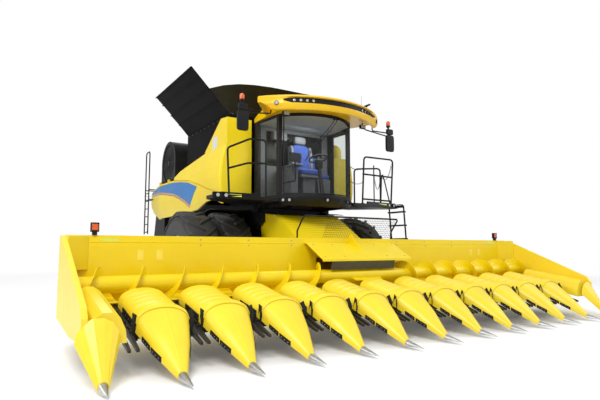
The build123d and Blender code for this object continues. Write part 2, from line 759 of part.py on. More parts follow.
# Straw hood at the rear with the spreader discs below it
with BuildPart() as straw_hood:
    prism_x(
        [
            (4300 + seat_gap, 1500), (4300 + seat_gap, deck_z), (4700, deck_z), (5150, 2500),
            (5350, 1700), (5250, 1250), (4500, 1250)
        ],
        -straw_hood_half_width, straw_hood_half_width
    )
    prism_x(
        [(4480, 1249), (4560, 1400), (5200, 1400), (5230, 1249)], -straw_hood_half_width + 50,
        straw_hood_half_width - 50, mode=Mode.SUBTRACT
    )
    # Drawbar tongue with its pin hole
    box(-60, 60, 4400, 5640, 1205, 1260)
    rod((0, 5560, 1190), (0, 5560, 1270), hitch_bore_radius, mode=Mode.SUBTRACT)
    for side in (right, left):
        rod((side * 480, 4880, 1410), (side * 480, 4880, 1080), 35)
straw_hood.part.label = "straw_hood"
export_step(straw_hood.part, "parts/straw_hood.step")
for name, side in sides.items():
    with BuildPart() as spreader:
        rod((side * 480, 4880, 1090), (side * 480, 4880, 1110), 420)
        for i in range(4):
            with Locations(Location((side * 480, 4880, 1110), (0, 0, 45 + 90 * i)) * Location((250, 0, 45))):
                Box(320, 14, 92)
        rod((side * 480, 4880, 1090), (side * 480, 4880, 1200), 70)
        rod((side * 480, 4880, 1080), (side * 480, 4880, 1210), 35 + seat_gap, mode=Mode.SUBTRACT)
    spreader.part.label = f"spreader_{name}"
    export_step(spreader.part, f"parts/spreader_{name}.step")

# Unloading tube: upright turret, elbow and the long tube folded to the rear
with BuildPart() as unloading_tube:
    rod(
        (unloader_x, unloader_y, turret_top + seat_gap), (unloader_x, unloader_y, unloader_z),
        unloader_radius
    )
    with Locations((unloader_x, unloader_y, unloader_z)):
        Sphere(unloader_radius)
    rod((unloader_x, unloader_y, unloader_z), (unloader_x, unloader_end_y, unloader_z), unloader_radius)
    spout = [
        (unloader_end_y - 40, unloader_z + 180), (unloader_end_y + 200, unloader_z + 120),
        (unloader_end_y + 200, unloader_z - 360), (unloader_end_y - 40, unloader_z - 180)
    ]
    prism_x(spout, unloader_x - 175, unloader_x + 175)
unloading_tube.part.label = "unloading_tube"
export_step(unloading_tube.part, "parts/unloading_tube.step")
print("body done")
# Cab: floor, pillars and rear wall around an open space; glass panes between the pillars
floor_thickness = 70.0
nose_runs = 8
rear_wall_y = cab_rear_y - 60
rear_pillar_y = rear_wall_y - 90
door_hinge_x, door_hinge_y = cab_half_width + 16, rear_wall_y - 88
door_hinge_places = (2650.0, 3560.0)
cab_plan_bow = [
    (-cab_front_half_width, cab_corner_y), (0, windscreen_bow_y), (cab_front_half_width, cab_corner_y)
]


def cab_plan(inset, z):
    """The cab's plan with its bowed front, drawn in by an inset."""
    front = [(u * (1 - inset / cab_front_half_width), v + inset) for u, v in cab_plan_bow]
    with BuildSketch(Plane.XY.offset(z)) as plan:
        with BuildLine():
            ThreePointArc(*front)
            Polyline(
                front[2], (cab_half_width - inset, rear_pillar_y),
                (cab_half_width - inset, cab_rear_y - inset),
                (-cab_half_width + inset, cab_rear_y - inset), (-cab_half_width + inset, rear_pillar_y),
                front[0]
            )
        make_face()
    return plan.sketch


with BuildPart() as cab_frame:
    extrude(cab_plan(0, cab_floor_z - floor_thickness), amount=floor_thickness)
    # Bulging nose under the floor
    nose_rings = []
    # z below the floor, half-width, how far the bow reaches forward
    for drop, nose_half, bow_out in ((0, 900, 530), (60, 880, 500), (130, 800, 400)):
        ring = []
        for i in range(nose_runs + 1):
            u = 2 * i / nose_runs - 1
            ring.append((nose_half * u, cab_corner_y - 20 - bow_out * (1 - u**2)))
        nose_rings.append([(u, v, cab_floor_z - floor_thickness - drop) for u, v in ring])
    add(panelled(nose_rings, split=True))
    # Rear wall with its window cut out
    box(-cab_half_width, cab_half_width, rear_wall_y, cab_rear_y, cab_floor_z, cab_ceiling_z)
    box(
        -700, 700, rear_wall_y - 5, cab_rear_y + 5, cab_floor_z + 700, cab_ceiling_z - 110,
        mode=Mode.SUBTRACT
    )
    for side in (right, left):
        # Rear and front pillars and the sill rails
        box(side * (cab_half_width - pillar_size), side * cab_half_width, rear_pillar_y, rear_wall_y + 1,
            cab_floor_z, cab_ceiling_z)
        prism_z(
            [
                (side * (cab_front_half_width - 4), cab_corner_y - 2),
                (side * (cab_front_half_width + 3), cab_corner_y + 75),
                (side * (cab_front_half_width - 60), cab_corner_y + 75),
                (side * (cab_front_half_width - 64), cab_corner_y - 28)
            ],
            cab_floor_z, cab_ceiling_z
        )
    # Hinge pins for the door
    for z in door_hinge_places:
        rod((door_hinge_x, door_hinge_y, z - 50), (door_hinge_x, door_hinge_y, z + 50), hinge_pin_radius)
        box(cab_half_width - 20, door_hinge_x + 3, door_hinge_y - 5, door_hinge_y + 14, z - 8, z + 8)
    # Ceiling
    extrude(cab_plan(0, cab_ceiling_z), amount=40)
cab_frame.part.label = "cab_frame"
export_step(cab_frame.part, "parts/cab_frame.step")

with BuildPart() as windscreen:
    with BuildSketch(Plane.XY.offset(cab_floor_z + seat_gap)) as pane:
        with BuildLine():
            outer = [(-cab_front_half_width + 70, cab_corner_y - 55), (0, windscreen_bow_y + 8),
                     (cab_front_half_width - 70, cab_corner_y - 55)]
            inner = [(u, v + glass_thickness) for u, v in outer]
            ThreePointArc(*outer)
            Line(outer[2], inner[2])
            ThreePointArc(*inner[::-1])
            Line(inner[0], outer[0])
        make_face()
    extrude(pane.sketch, amount=cab_ceiling_z - cab_floor_z - 2 * seat_gap)


def side_pane_plan(side, outer_inset, inner_inset):
    front_x, rear_x = cab_front_half_width + 6, cab_half_width
    return [
        (side * (front_x - outer_inset), cab_corner_y + 75 + seat_gap),
        (side * (rear_x - outer_inset), rear_pillar_y - seat_gap),
        (side * (rear_x - inner_inset), rear_pillar_y - seat_gap),
        (side * (front_x - inner_inset), cab_corner_y + 75 + seat_gap)
    ]


with BuildPart() as cab_glass:
    add(windscreen.part)
    prism_z(
        side_pane_plan(right, 12, 12 + glass_thickness), cab_floor_z + seat_gap, cab_ceiling_z - seat_gap
    )
    box(-700 + seat_gap, 700 - seat_gap, rear_wall_y + 10, rear_wall_y + 10 + glass_thickness,
        cab_floor_z + 700 + seat_gap, cab_ceiling_z - 110 - seat_gap)
cab_glass.part.label = "cab_glass"
export_step(cab_glass.part, "parts/cab_glass.step")

# Cab door on the driver's left: frame and glass, hung on the rear pillar
door_gap = 6.0
door_frame = 55.0
door_low_z, door_high_z = cab_floor_z + door_gap, cab_ceiling_z - door_gap
door_front_y, door_rear_y = cab_corner_y + 75 + door_gap, rear_pillar_y - door_gap
with BuildPart() as cab_door:
    plan = [(cab_front_half_width + 4, door_front_y), (cab_half_width - 2, door_rear_y),
            (cab_half_width - 34, door_rear_y), (cab_front_half_width - 28, door_front_y)]
    prism_z(plan, door_low_z, door_high_z)
    box(
        700, 1000, door_front_y + door_frame, door_rear_y - door_frame, door_low_z + door_frame,
        door_high_z - door_frame, mode=Mode.SUBTRACT
    )
    rod((cab_half_width + 22, door_front_y + 60, 2900), (cab_half_width + 22, door_front_y + 60, 3150), 14)
    for z in (2905, 3145):
        box(
            cab_front_half_width - 2, cab_half_width + 30, door_front_y + 48, door_front_y + 50, z - 12,
            z + 12
        )
    for middle in door_hinge_places:
        for z0, z1 in ((middle - 45, middle - 12), (middle + 12, middle + 45)):
            rod((door_hinge_x, door_hinge_y, z0), (door_hinge_x, door_hinge_y, z1), 15)
            box(cab_half_width - 4, door_hinge_x, door_hinge_y - 34, door_hinge_y - 6, z0, z1)
            rod(
                (door_hinge_x, door_hinge_y, z0 - 1), (door_hinge_x, door_hinge_y, z1 + 1),
                hinge_pin_radius + seat_gap, mode=Mode.SUBTRACT
            )
cab_door.part.label = "cab_door_frame"
export_step(cab_door.part, "parts/cab_door_frame.step")
with BuildPart() as door_glass:
    inset = 10
    prism_z([(cab_front_half_width - inset, door_front_y + door_frame + seat_gap),
             (cab_half_width - inset - 8, door_rear_y - door_frame - seat_gap),
             (cab_half_width - inset - 20, door_rear_y - door_frame - seat_gap),
             (cab_front_half_width - inset - 12, door_front_y + door_frame + seat_gap)],
            door_low_z + door_frame + seat_gap, door_high_z - door_frame - seat_gap)
door_glass.part.label = "door_glass"
export_step(door_glass.part, "parts/door_glass.step")

# Roof: a swept visor with open wings, its lamp band set back between the wings
roof_low_z = cab_ceiling_z + 40 + seat_gap
band_depth = 46.0
bow_runs = 16
band_runs = 5


def roof_bow(inset):
    """Points along the visor's front arc, drawn in by an inset."""
    tip_x, tip_y, nose = roof_tip_x - 1.6 * inset, roof_tip_y + 0.5 * inset, roof_nose_y + inset
    radius = (tip_x**2 + (tip_y - nose) ** 2) / (2 * (tip_y - nose))
    half_turn = asin(tip_x / radius)
    points = []
    for i in range(bow_runs + 1):
        turn = half_turn * (2 * i / bow_runs - 1)
        points.append((radius * sin(turn), nose + radius - radius * cos(turn)))
    return points


def roof_ring(z, inset, in_band=False):
    """The roof's plan at one height, with the lamp band's recess where it applies."""
    front, recess = roof_bow(inset), roof_bow(inset + band_depth)
    if in_band:
        low, high = bow_runs // 2 - band_runs, bow_runs // 2 + band_runs
        front = [recess[i] if low <= i <= high else point for i, point in enumerate(front)]
    rear = [
        (cab_half_width + 90 - inset, -1950),
        (cab_half_width + 60 - inset, body_front_y - 60 - 0.3 * inset)
    ]
    return [(u, v, z) for u, v in front + rear + [(-u, v) for u, v in rear[::-1]]]


lip_drop, lip_end_drop = 58.0, 34.0
band_low, band_high = 66.0, 156.0
# height over the ceiling, inset, whether the lamp band cuts in
roof_sections = [
    (0, 60, False), (34, 10, False), (band_low - 4, 0, False), (band_low, 2, True), (band_high, 2, True),
    (band_high + 4, 0, False), (200, 34, False), (232, 110, False), (252, 240, False), (260, 420, False),
]
with BuildPart() as cab_roof:
    add(
        panelled([roof_ring(roof_low_z + height, inset, in_band)
        for height, inset, in_band in roof_sections], split=True)
    )
    # Lip that hangs along the visor's front, deeper towards its ends
    lip_rings = []
    for i in range(1, bow_runs):
        drop = lip_drop + lip_end_drop * abs(2 * i / bow_runs - 1) ** 2
        near, far = Vector(*roof_bow(14)[i]), Vector(*roof_bow(80)[i])
        # share of the way back from the front, height over the ceiling
        corners = [(near + (far - near) * share, height)
                   for share, height in ((0.0, 34), (0.3, -drop), (1.0, 6 - drop), (1.0, 34))]
        lip_rings.append([(spot.X, spot.Y, roof_low_z + height) for spot, height in corners])
    add(panelled(lip_rings, split=True))
    # Triangular opening in each wing, between its two struts
    for side in (right, left):
        prism_z(
            [(side * 1300, -2412), (side * 1010, -2655), (side * 1010, -2087)], roof_low_z - 5,
            roof_low_z + 300, mode=Mode.SUBTRACT
        )
cab_roof.part.label = "cab_roof"
export_step(cab_roof.part, "parts/cab_roof.step")

# Lamps in the band, work lamps under the visor, lamps on the cab's nose and on the platforms' front beams
lamp_radius, lamp_depth = 36.0, 34.0
lamp_places = (580, 688, 795, 903)
lamp_z = roof_low_z + (band_low + band_high) / 2
work_lamp_x, work_lamp_y = 929.0, -2545.0
nose_lamp_chords = (1, 2, 5, 6)
beam_lamp_places = (1960.0, 2110.0)
beam_lamp_radius = 44.0
platform_top_z, platform_low_z = 2310.0, 2195.0
platform_outer_x = 2198.0
beam_foot_x = 1300.0
beam_run = Vector(platform_outer_x - beam_foot_x, roof_tip_y + 260 - (cab_corner_y - 60))
beam_thickness = 40.0


def facing(a, b, c):
    """The middle of a triangle and the way that it faces, forward of the machine."""
    middle = (a + b + c) / 3
    way = (b - a).cross(c - a).normalized()
    return middle, way if way.Y < 0 else -way


with BuildPart() as roof_lamps:
    band_points = roof_bow(2 + band_depth)
    for x in [side * place for side in (right, left) for place in lamp_places]:
        for near, far in zip(band_points, band_points[1:]):
            if near[0] <= x < far[0]:
                y = near[1] + (far[1] - near[1]) * (x - near[0]) / (far[0] - near[0])
                way = Vector(far[1] - near[1], near[0] - far[0]).normalized()
                foot = Vector(x, y, lamp_z) + way * seat_gap
                rod(foot, foot + way * lamp_depth, lamp_radius)
    for side in (right, left):
        box(
            side * (work_lamp_x - 60), side * (work_lamp_x + 60), work_lamp_y - 35, work_lamp_y + 30,
            3778, 3860
        )
        rod(
            (side * work_lamp_x, work_lamp_y, 3850),
            (side * work_lamp_x, work_lamp_y, roof_low_z - seat_gap), 12
        )
        for place in beam_lamp_places:
            share = (place - beam_foot_x) / beam_run.X
            way = Vector(side * beam_run.Y, -beam_run.X).normalized()
            foot = Vector(
                side * place, cab_corner_y - 60 + share * beam_run.Y, platform_top_z - 56
            ) + way * seat_gap
            rod(foot, foot + way * 36, beam_lamp_radius)
    for i in nose_lamp_chords:
        high, low = nose_rings[0], nose_rings[1]
        spot, way = facing(Vector(*high[i]), Vector(*high[i + 1]), Vector(*low[i + 1]))
        rod(spot + way * 2 * seat_gap, spot + way * 40, 24)
roof_lamps.part.label = "roof_lamps"
export_step(roof_lamps.part, "parts/roof_lamps.step")

# Platforms beside the cab
ladder_hinge_x, ladder_hinge_y = 2235.0, -2340.0
with BuildPart() as platforms:
    for side in (right, left):
        outline = [(cab_half_width - 40, cab_corner_y - 60), (beam_foot_x, cab_corner_y - 60),
                   (platform_outer_x, roof_tip_y + 260), (platform_outer_x, roof_tip_y + 560),
                   (1500, body_front_y - 60), (cab_half_width - 40, body_front_y - 60)]
        prism_z(
            [(side * u, v) for u, v in outline], platform_low_z, cab_floor_z - floor_thickness - seat_gap
        )
        # Front beam, and a kerb along the outer edge
        inward = Vector(-beam_run.Y, beam_run.X).normalized() * beam_thickness
        beam = [(beam_foot_x, cab_corner_y - 60), (platform_outer_x, roof_tip_y + 260),
                (platform_outer_x + inward.X, roof_tip_y + 260 + inward.Y),
                (beam_foot_x + inward.X, cab_corner_y - 60 + inward.Y)]
        prism_z([(side * u, v) for u, v in beam], platform_low_z, platform_top_z)
        box(
            side * 840, side * 960, body_front_y - 60, body_front_y - seat_gap, 2050,
            cab_floor_z - floor_thickness - seat_gap
        )
        box(
            side * 620, side * 740, cab_corner_y + 100, body_front_y - seat_gap, 2120,
            cab_floor_z - floor_thickness - seat_gap
        )

# Handrails on both platforms
rail_radius = 17.0
rail_foot_z = cab_floor_z - floor_thickness - 10
with BuildPart() as platform_rails:
    add(platforms.part)
    rail(
        [
            (-1000, -1900, rail_foot_z), (-1000, -1900, 3480), (-1500, -2160, 3480), (-2080, -2155, 3400),
            (-2080, -2155, rail_foot_z)
        ],
        rail_radius, 80
    )
    rod((-1000, -1900, 3060), (-2080, -2155, 3060), 13)
    rail(
        [(1300, -2200, rail_foot_z), (1300, -2200, 3250), (2080, -2120, 3250), (2080, -2120, rail_foot_z)],
        rail_radius, 80
    )
    rod((1300, -2200, 2800), (2080, -2120, 2800), 13)
    rail(
        [(2080, -1800, rail_foot_z), (2080, -1800, 3150), (1620, -1420, 3150), (1620, -1420, rail_foot_z)],
        rail_radius, 80
    )
    # Pins for the ladder's hinge
    for z in (2215, 2275):
        box(platform_outer_x - 30, ladder_hinge_x, roof_tip_y + 87, roof_tip_y + 270, z - 8, z + 8)
    rod((ladder_hinge_x, ladder_hinge_y, 2207), (ladder_hinge_x, ladder_hinge_y, 2283), 12)
platform_rails.part.label = "platforms"
export_step(platform_rails.part, "parts/platforms.step")

# Mirrors and beacons on arms from the roof's tips
with BuildPart() as mirrors:
    for side in (right, left):
        for foot_x, foot_y, low in (
            (roof_tip_x - 110, roof_tip_y + 60, 3820), (roof_tip_x - 320, roof_tip_y + 60, 3740)
        ):
            rail([(side * foot_x, foot_y, roof_low_z - seat_gap), (side * foot_x, foot_y, roof_low_z - 70),
                  (side * 1774, roof_tip_y + 6, low)], 13, 30)
        rod((side * 1774, roof_tip_y + 6, 3420), (side * 1774, roof_tip_y + 6, 3950), 20)
        box(side * 1660, side * 1888, roof_tip_y - 60, roof_tip_y - 9, 3400, 3760)
        box(side * 1680, side * 1868, roof_tip_y - 60, roof_tip_y - 9, 3775, 3900)
        rod((side * 1774, roof_tip_y - 30, 3760), (side * 1774, roof_tip_y - 30, 3780), 20)
        box(side * 1750, side * 1798, roof_tip_y - 50, roof_tip_y + 2, 3870, 3890)
        box(side * 1750, side * 1798, roof_tip_y - 20, roof_tip_y + 2, 3440, 3470)
mirrors.part.label = "mirrors"
export_step(mirrors.part, "parts/mirrors.step")
with BuildPart() as beacons:
    for side in (right, left):
        rod((side * 1774, roof_tip_y + 6, 3950 + seat_gap), (side * 1774, roof_tip_y + 6, 4090), 45)
beacons.part.label = "beacons"
export_step(beacons.part, "parts/beacons.step")

# Seat, steering column and console seen through the glass
with BuildPart() as cab_seat:
    box(-260, 260, -2050, -1560, cab_floor_z + 460, cab_floor_z + 580)
    box(-240, 240, -1660, -1540, cab_floor_z + 560, cab_floor_z + 1180)
    box(-190, 190, -2000, -1600, cab_floor_z + seat_gap, cab_floor_z + 470)
    rod((0, -2420, cab_floor_z + seat_gap), (0, -2420, cab_floor_z + 40), 90)
    rod((0, -2420, cab_floor_z + 30), (0, -2260, cab_floor_z + 760), 45)
    # Steering wheel: a leaning rim on three spokes
    rod((0, -2274, cab_floor_z + 745), (0, -2260, cab_floor_z + 790), 46)
    tilted = Plane(origin=(0, -2267, cab_floor_z + 768), x_dir=(1, 0, 0), z_dir=(0, 14, 45))
    with BuildSketch(Plane(origin=tilted.origin, x_dir=(1, 0, 0), z_dir=-tilted.y_dir)) as rim_section:
        with Locations((176, 0)):
            RegularPolygon(15, 6)
    revolve(rim_section.sketch, axis=Axis(tilted.origin, tilted.z_dir), revolution_arc=360)
    for turn in (90, 210, 330):
        with Locations(tilted.location * Location((0, 0, 0), (0, 0, turn)) * Location((100, 0, 0))):
            Box(150, 26, 10)
    box(-470, -290, -2100, -1500, cab_floor_z + seat_gap, cab_floor_z + 640)
cab_seat.part.label = "cab_seat"
export_step(cab_seat.part, "parts/cab_seat.step")

# Access ladder at the left front
with BuildPart() as front_ladder:
    rod((ladder_hinge_x, ladder_hinge_y, 2224), (ladder_hinge_x, ladder_hinge_y, 2266), 24)
    rod(
        (ladder_hinge_x, ladder_hinge_y, 2200), (ladder_hinge_x, ladder_hinge_y, 2280), 12 + seat_gap,
        mode=Mode.SUBTRACT
    )
    box(ladder_hinge_x + 14, ladder_hinge_x + 50, ladder_hinge_y, -1880, 2226, 2264)
    for y in (-2340, -1880):
        rod((ladder_hinge_x + 34, y, 2240), (2330, y, 1500), 18)
        rod((2330, y, 1500), (2480, y, 560), 22)
    for i in range(6):
        z = 620 + 300 * i
        x = 2330 + (1500 - z) * 150 / 940 if z < 1500 else 2269 + (2240 - z) * 61 / 740
        box(x - 60, x + 60, -2340, -1880, z - 15, z + 15)
front_ladder.part.label = "front_ladder"
export_step(front_ladder.part, "parts/front_ladder.step")

# Rear ladder behind the right side cover: a hoop of two stiles, held at the hood and at the corner panel
rear_ladder_x = skin_widest_x - 140
rear_ladder_places = (cover_rear_y + 60, cover_rear_y + 420)
with BuildPart() as rear_ladder:
    front_y, rear_y = rear_ladder_places
    rail([(-rear_ladder_x, front_y, 1720), (-rear_ladder_x, front_y, 4180), (-rear_ladder_x, rear_y, 4180),
          (-rear_ladder_x, rear_y, 1720)], 18, 80)
    for y in rear_ladder_places:
        rod((-hood_half_width - seat_gap, y, 3040), (-rear_ladder_x, y, 3040), 15)
        corner_x = skin_widest_x - rear_tuck * (y - 15 - skin_middle_y) / (skin_rear_y - skin_middle_y)
        rod((-corner_x - 2 * seat_gap, y, 2750), (-rear_ladder_x, y, 2750), 15)
    for i in range(6):
        rod((-rear_ladder_x, front_y, 1780 + 230 * i), (-rear_ladder_x, rear_y, 1780 + 230 * i), 14)
rear_ladder.part.label = "rear_ladder"
export_step(rear_ladder.part, "parts/rear_ladder.step")
print("cab done")
# Feeder house: side plates, roof, floor and rear block round the open duct, hung from the body's pins
feeder_nose_y = sheet_y + sheet_thickness / 2 + seat_gap
feeder_wall = 20.0
feeder_bend = (-1900, 1960)
duct = [(feeder_nose_y - 1, 495), (feeder_nose_y - 1, 1155), (feeder_bend[0], feeder_bend[1] - 25),
        (feeder_pivot_y - 90, 1970), (-1700, 1365)]
inner_half = feeder_half_width - feeder_wall - seat_gap
pivot_bore = (
    (-feeder_half_width - 5, feeder_pivot_y, feeder_pivot_z),
    (feeder_half_width + 5, feeder_pivot_y, feeder_pivot_z)
)
with BuildPart() as feeder_sides:
    casing = [
        (feeder_nose_y, 470), (feeder_nose_y, 1180), feeder_bend, (feeder_pivot_y - 60, 2010),
        (body_front_y - 40, 1990), (body_front_y - 40, 1800), (-1330, 1460), (-1700, 1330),
    ]
    for side in (right, left):
        prism_x(casing, side * (feeder_half_width - feeder_wall), side * feeder_half_width)
    rod(*pivot_bore, feeder_pivot_radius + seat_gap, mode=Mode.SUBTRACT)
with BuildPart() as feeder_roof:
    prism_x(
        [(feeder_nose_y, 1180), feeder_bend, (feeder_bend[0], feeder_bend[1] - 25), (feeder_nose_y, 1155)],
        -inner_half, inner_half
    )
with BuildPart() as feeder_rear:
    prism_x(
        [
            (feeder_bend[0] + seat_gap, feeder_bend[1]), (feeder_pivot_y - 60, 2010),
            (body_front_y - 40, 1990), (body_front_y - 40, 1800), (-1330, 1460), (-1700 + seat_gap, 1330)
        ],
        -inner_half, inner_half
    )
    prism_x(duct, -inner_half - 5, inner_half + 5, mode=Mode.SUBTRACT)
    rod(*pivot_bore, feeder_pivot_radius + seat_gap, mode=Mode.SUBTRACT)
with BuildPart() as feeder_floor:
    prism_x(
        [(feeder_nose_y, 470), (-1700, 1330), (-1700, 1365), (feeder_nose_y, 495)], -inner_half,
        inner_half
    )
    # Lugs for the lift cylinders
    for side in (right, left):
        for offset in (-62, 38):
            x0 = side * cylinder_x + offset
            prism_x([(cylinder_eye_y - 50, cylinder_eye_z - 50), (cylinder_eye_y + 50, cylinder_eye_z - 50),
                     (cylinder_eye_y + 130, 1060), (cylinder_eye_y - 130, 1000)], x0, x0 + 24)
        rod((side * cylinder_x - 62, cylinder_eye_y, cylinder_eye_z),
            (side * cylinder_x + 62, cylinder_eye_y, cylinder_eye_z), cylinder_pin_radius)
    prism_x(duct, -inner_half - 5, inner_half + 5, mode=Mode.SUBTRACT)
with BuildPart() as feeder_house:
    for plates in (feeder_sides, feeder_roof, feeder_rear, feeder_floor):
        add(plates.part)
feeder_house.part.label = "feeder_house"
export_step(feeder_house.part, "parts/feeder_house.step")

# Lift cylinders: barrels hinged on the axle's lugs, rods that slide in them
cylinder_run = Vector(0, cylinder_eye_y - cylinder_foot_y, cylinder_eye_z - cylinder_foot_z)
cylinder_length = cylinder_run.length
cylinder_way = cylinder_run.normalized()


def along(side, distance):
    return (
        side * cylinder_x, cylinder_foot_y + distance * cylinder_way.Y,
        cylinder_foot_z + distance * cylinder_way.Z
    )


barrel_end = 980.0
rod_radius = 32.0
with BuildPart() as lift_barrels:
    for side in (right, left):
        rod(along(side, 20), along(side, 110), 34)
        rod(along(side, 100), along(side, barrel_end), 58)
        rod(
            (side * cylinder_x - 34, cylinder_foot_y, cylinder_foot_z),
            (side * cylinder_x + 34, cylinder_foot_y, cylinder_foot_z), 62
        )
        rod(
            (side * cylinder_x - 40, cylinder_foot_y, cylinder_foot_z),
            (side * cylinder_x + 40, cylinder_foot_y, cylinder_foot_z), cylinder_pin_radius + seat_gap,
            mode=Mode.SUBTRACT
        )
        rod(along(side, 120), along(side, barrel_end + 5), rod_radius + seat_gap, mode=Mode.SUBTRACT)
lift_barrels.part.label = "lift_barrels"
export_step(lift_barrels.part, "parts/lift_barrels.step")
with BuildPart() as lift_rods:
    for side in (right, left):
        rod(along(side, 140), along(side, cylinder_length - 20), rod_radius)
        rod(
            (side * cylinder_x - 34, cylinder_eye_y, cylinder_eye_z),
            (side * cylinder_x + 34, cylinder_eye_y, cylinder_eye_z), 62
        )
        rod(
            (side * cylinder_x - 40, cylinder_eye_y, cylinder_eye_z),
            (side * cylinder_x + 40, cylinder_eye_y, cylinder_eye_z),
            cylinder_pin_radius + cylinder_eye_clearance, mode=Mode.SUBTRACT
        )
lift_rods.part.label = "lift_rods"
export_step(lift_rods.part, "parts/lift_rods.step")

# Header frame: back sheet, trough under the auger and front beam in one bent section
trough_radius = auger_flight_radius + 30
trough_low_z = auger_z - trough_radius
front_beam_y = hood_back_y - 12
header_section = [
    (sheet_y + 10, sheet_top_z), (sheet_y, 1330), (sheet_y, trough_low_z + 60),
    (sheet_y - 130, trough_low_z), (auger_y - 60, trough_low_z - 6), (auger_y - 230, trough_low_z + 60)
]
with BuildPart() as header_frame:
    prism_x(strip(header_section, sheet_thickness), -header_half_width, header_half_width)
    # Opening into the feeder house
    box(-700, 700, sheet_y - 60, sheet_y + 60, 640, 1150, mode=Mode.SUBTRACT)
    # Lower beam behind the sheet and front toolbar under the hoods
    box(-header_half_width, -feeder_half_width - 20, sheet_y + 12, sheet_y + 132, 470, 600)
    box(feeder_half_width + 20, header_half_width, sheet_y + 12, sheet_y + 132, 470, 600)
    box(-header_half_width, header_half_width, sheet_y - 620, sheet_y - 500, 430, trough_low_z - 12)
    for side in (right, left):
        box(
            side * (feeder_half_width + 20), side * (feeder_half_width + 100), sheet_y - 620,
            sheet_y + 100, 430, 500
        )
        box(
            side * (header_half_width - 80), side * header_half_width, sheet_y - 620, sheet_y + 100, 430,
            500
        )
header_frame.part.label = "header_frame"
export_step(header_frame.part, "parts/header_frame.step")

# End shields with slanting top edge
with BuildPart() as end_shields:
    shield = [(sheet_y + 40, 430), (sheet_y + 40, 1480), (sheet_y - 120, 1460), (snout_back_y - 290, 740),
              (snout_back_y - 360, 640), (snout_back_y - 360, 410), (snout_back_y + 400, 360)]
    for side in (right, left):
        prism_x(shield, side * (header_half_width + seat_gap), side * (header_half_width + shield_thickness))
        rod(
            (side * (header_half_width - 78), auger_y, auger_z),
            (side * (header_half_width + 10), auger_y, auger_z), 30
        )


# Arch of every snout and hood: share of the half-width, share of the height
arch = [
    (-1.0, 0.0), (-0.93, 0.42), (-0.66, 0.8), (-0.25, 1.0), (0.25, 1.0), (0.66, 0.8), (0.93, 0.42),
    (1.0, 0.0)
]


def snout(x, *sections):
    """A tapering hood with an arched top: each section is (y, (width, low z, top z))."""
    rings = []
    for y, (width, low, top) in sections:
        rings.append([(x + u * width / 2, y, low + v * (top - low)) for u, v in arch])
    add(panelled(rings, split=True))


snout_places = [(i - (snout_count - 1) / 2) * row_pitch for i in range(snout_count)]
end_hood_width = 384.0
end_cone_x = header_half_width - 100
end_steel_y = snout_back_y - 680
# Section sizes: width, low z, top z
cone_back, cone_middle, cone_front = (snout_width, 430, 690), (400, 235, 430), (104, 45, 118)
steel_back, steel_front = (102, 42, 116), (26, 30, 52)
hood_front, hood_back = (590, 430, 670), (600, 600, 830)
with BuildPart() as snout_cones:
    for x in snout_places:
        snout(
            x, (snout_back_y, cone_back), (snout_back_y - cone_knee, cone_middle),
            (snout_steel_y, cone_front)
        )
snout_cones.part.label = "snout_cones"
export_step(snout_cones.part, "parts/snout_cones.step")
with BuildPart() as snout_tips:
    for x in snout_places:
        snout(x, (snout_steel_y - seat_gap, steel_back), (snout_tip_y, steel_front))
    for side in (right, left):
        snout(side * end_cone_x, (end_steel_y - seat_gap, (100, 42, 116)), (end_steel_y - 200, steel_front))
snout_tips.part.label = "snout_tips"
export_step(snout_tips.part, "parts/snout_tips.step")
with BuildPart() as row_hoods:
    for x in snout_places:
        snout(x, (hood_back_y, hood_back), (snout_back_y + seat_gap, hood_front))
row_hoods.part.label = "row_hoods"
export_step(row_hoods.part, "parts/row_hoods.step")
with BuildPart() as end_dividers:
    add(end_shields.part)
    for side in (right, left):
        snout(side * (header_half_width - end_hood_width / 2), (hood_back_y, (end_hood_width, 601, 860)),
              (snout_back_y - 300, (end_hood_width, 371, 680)))
        snout(side * end_cone_x, (snout_back_y - cone_knee, (420, 410, 640)), (end_steel_y, (110, 45, 120)))
end_dividers.part.label = "end_dividers"
export_step(end_dividers.part, "parts/end_dividers.step")

# Row units: deck plates with their slots, gearbox beams and gathering chains
hood_slope = (hood_back[1] - hood_front[1]) / (hood_back_y - snout_back_y)


def under_hood(y, drop=0.0):
    return hood_back[1] + (y - hood_back_y) * hood_slope - seat_gap - drop


row_places = [(i - snout_count / 2) * row_pitch for i in range(snout_count + 1)]
slot_half = 26.0
deck_front_y, deck_rear_y = snout_back_y + 10, sheet_y - 620 - seat_gap
with BuildPart() as row_units:
    for x in row_places:
        for side in (right, left):
            prism_x(
                [
                    (deck_rear_y, under_hood(deck_rear_y)), (deck_front_y, under_hood(deck_front_y)),
                    (deck_front_y, under_hood(deck_front_y, 90)),
                    (deck_rear_y, under_hood(deck_rear_y, 110))
                ],
                x + side * slot_half, x + side * 300
            )
            prism_x(
                [
                    (deck_front_y, under_hood(deck_front_y, 20)), (deck_front_y - 330, 300),
                    (deck_front_y - 330, 270), (deck_front_y, under_hood(deck_front_y, 90))
                ],
                x + side * slot_half, x + side * (slot_half + 34)
            )
        box(x - 160, x + 160, deck_rear_y - 240, deck_rear_y, 380, 505)
row_units.part.label = "row_units"
export_step(row_units.part, "parts/row_units.step")
with BuildPart() as gathering_chains:
    for x in row_places:
        for side in (right, left):
            inner = x + side * (slot_half + 6)
            run = (hood_back_y - 130, deck_front_y + 40)
            prism_x(
                [
                    (run[0], under_hood(run[0], -seat_gap)), (run[1], under_hood(run[1], -seat_gap)),
                    (run[1], under_hood(run[1], -24)), (run[0], under_hood(run[0], -24))
                ],
                inner, inner + side * 20
            )
gathering_chains.part.label = "gathering_chains"
export_step(gathering_chains.part, "parts/gathering_chains.step")

# Auger across the trough: tube, stub bores and a flight of each hand
flight_pitch = 560.0
flight_thickness = 9.0
flight_steps = 12


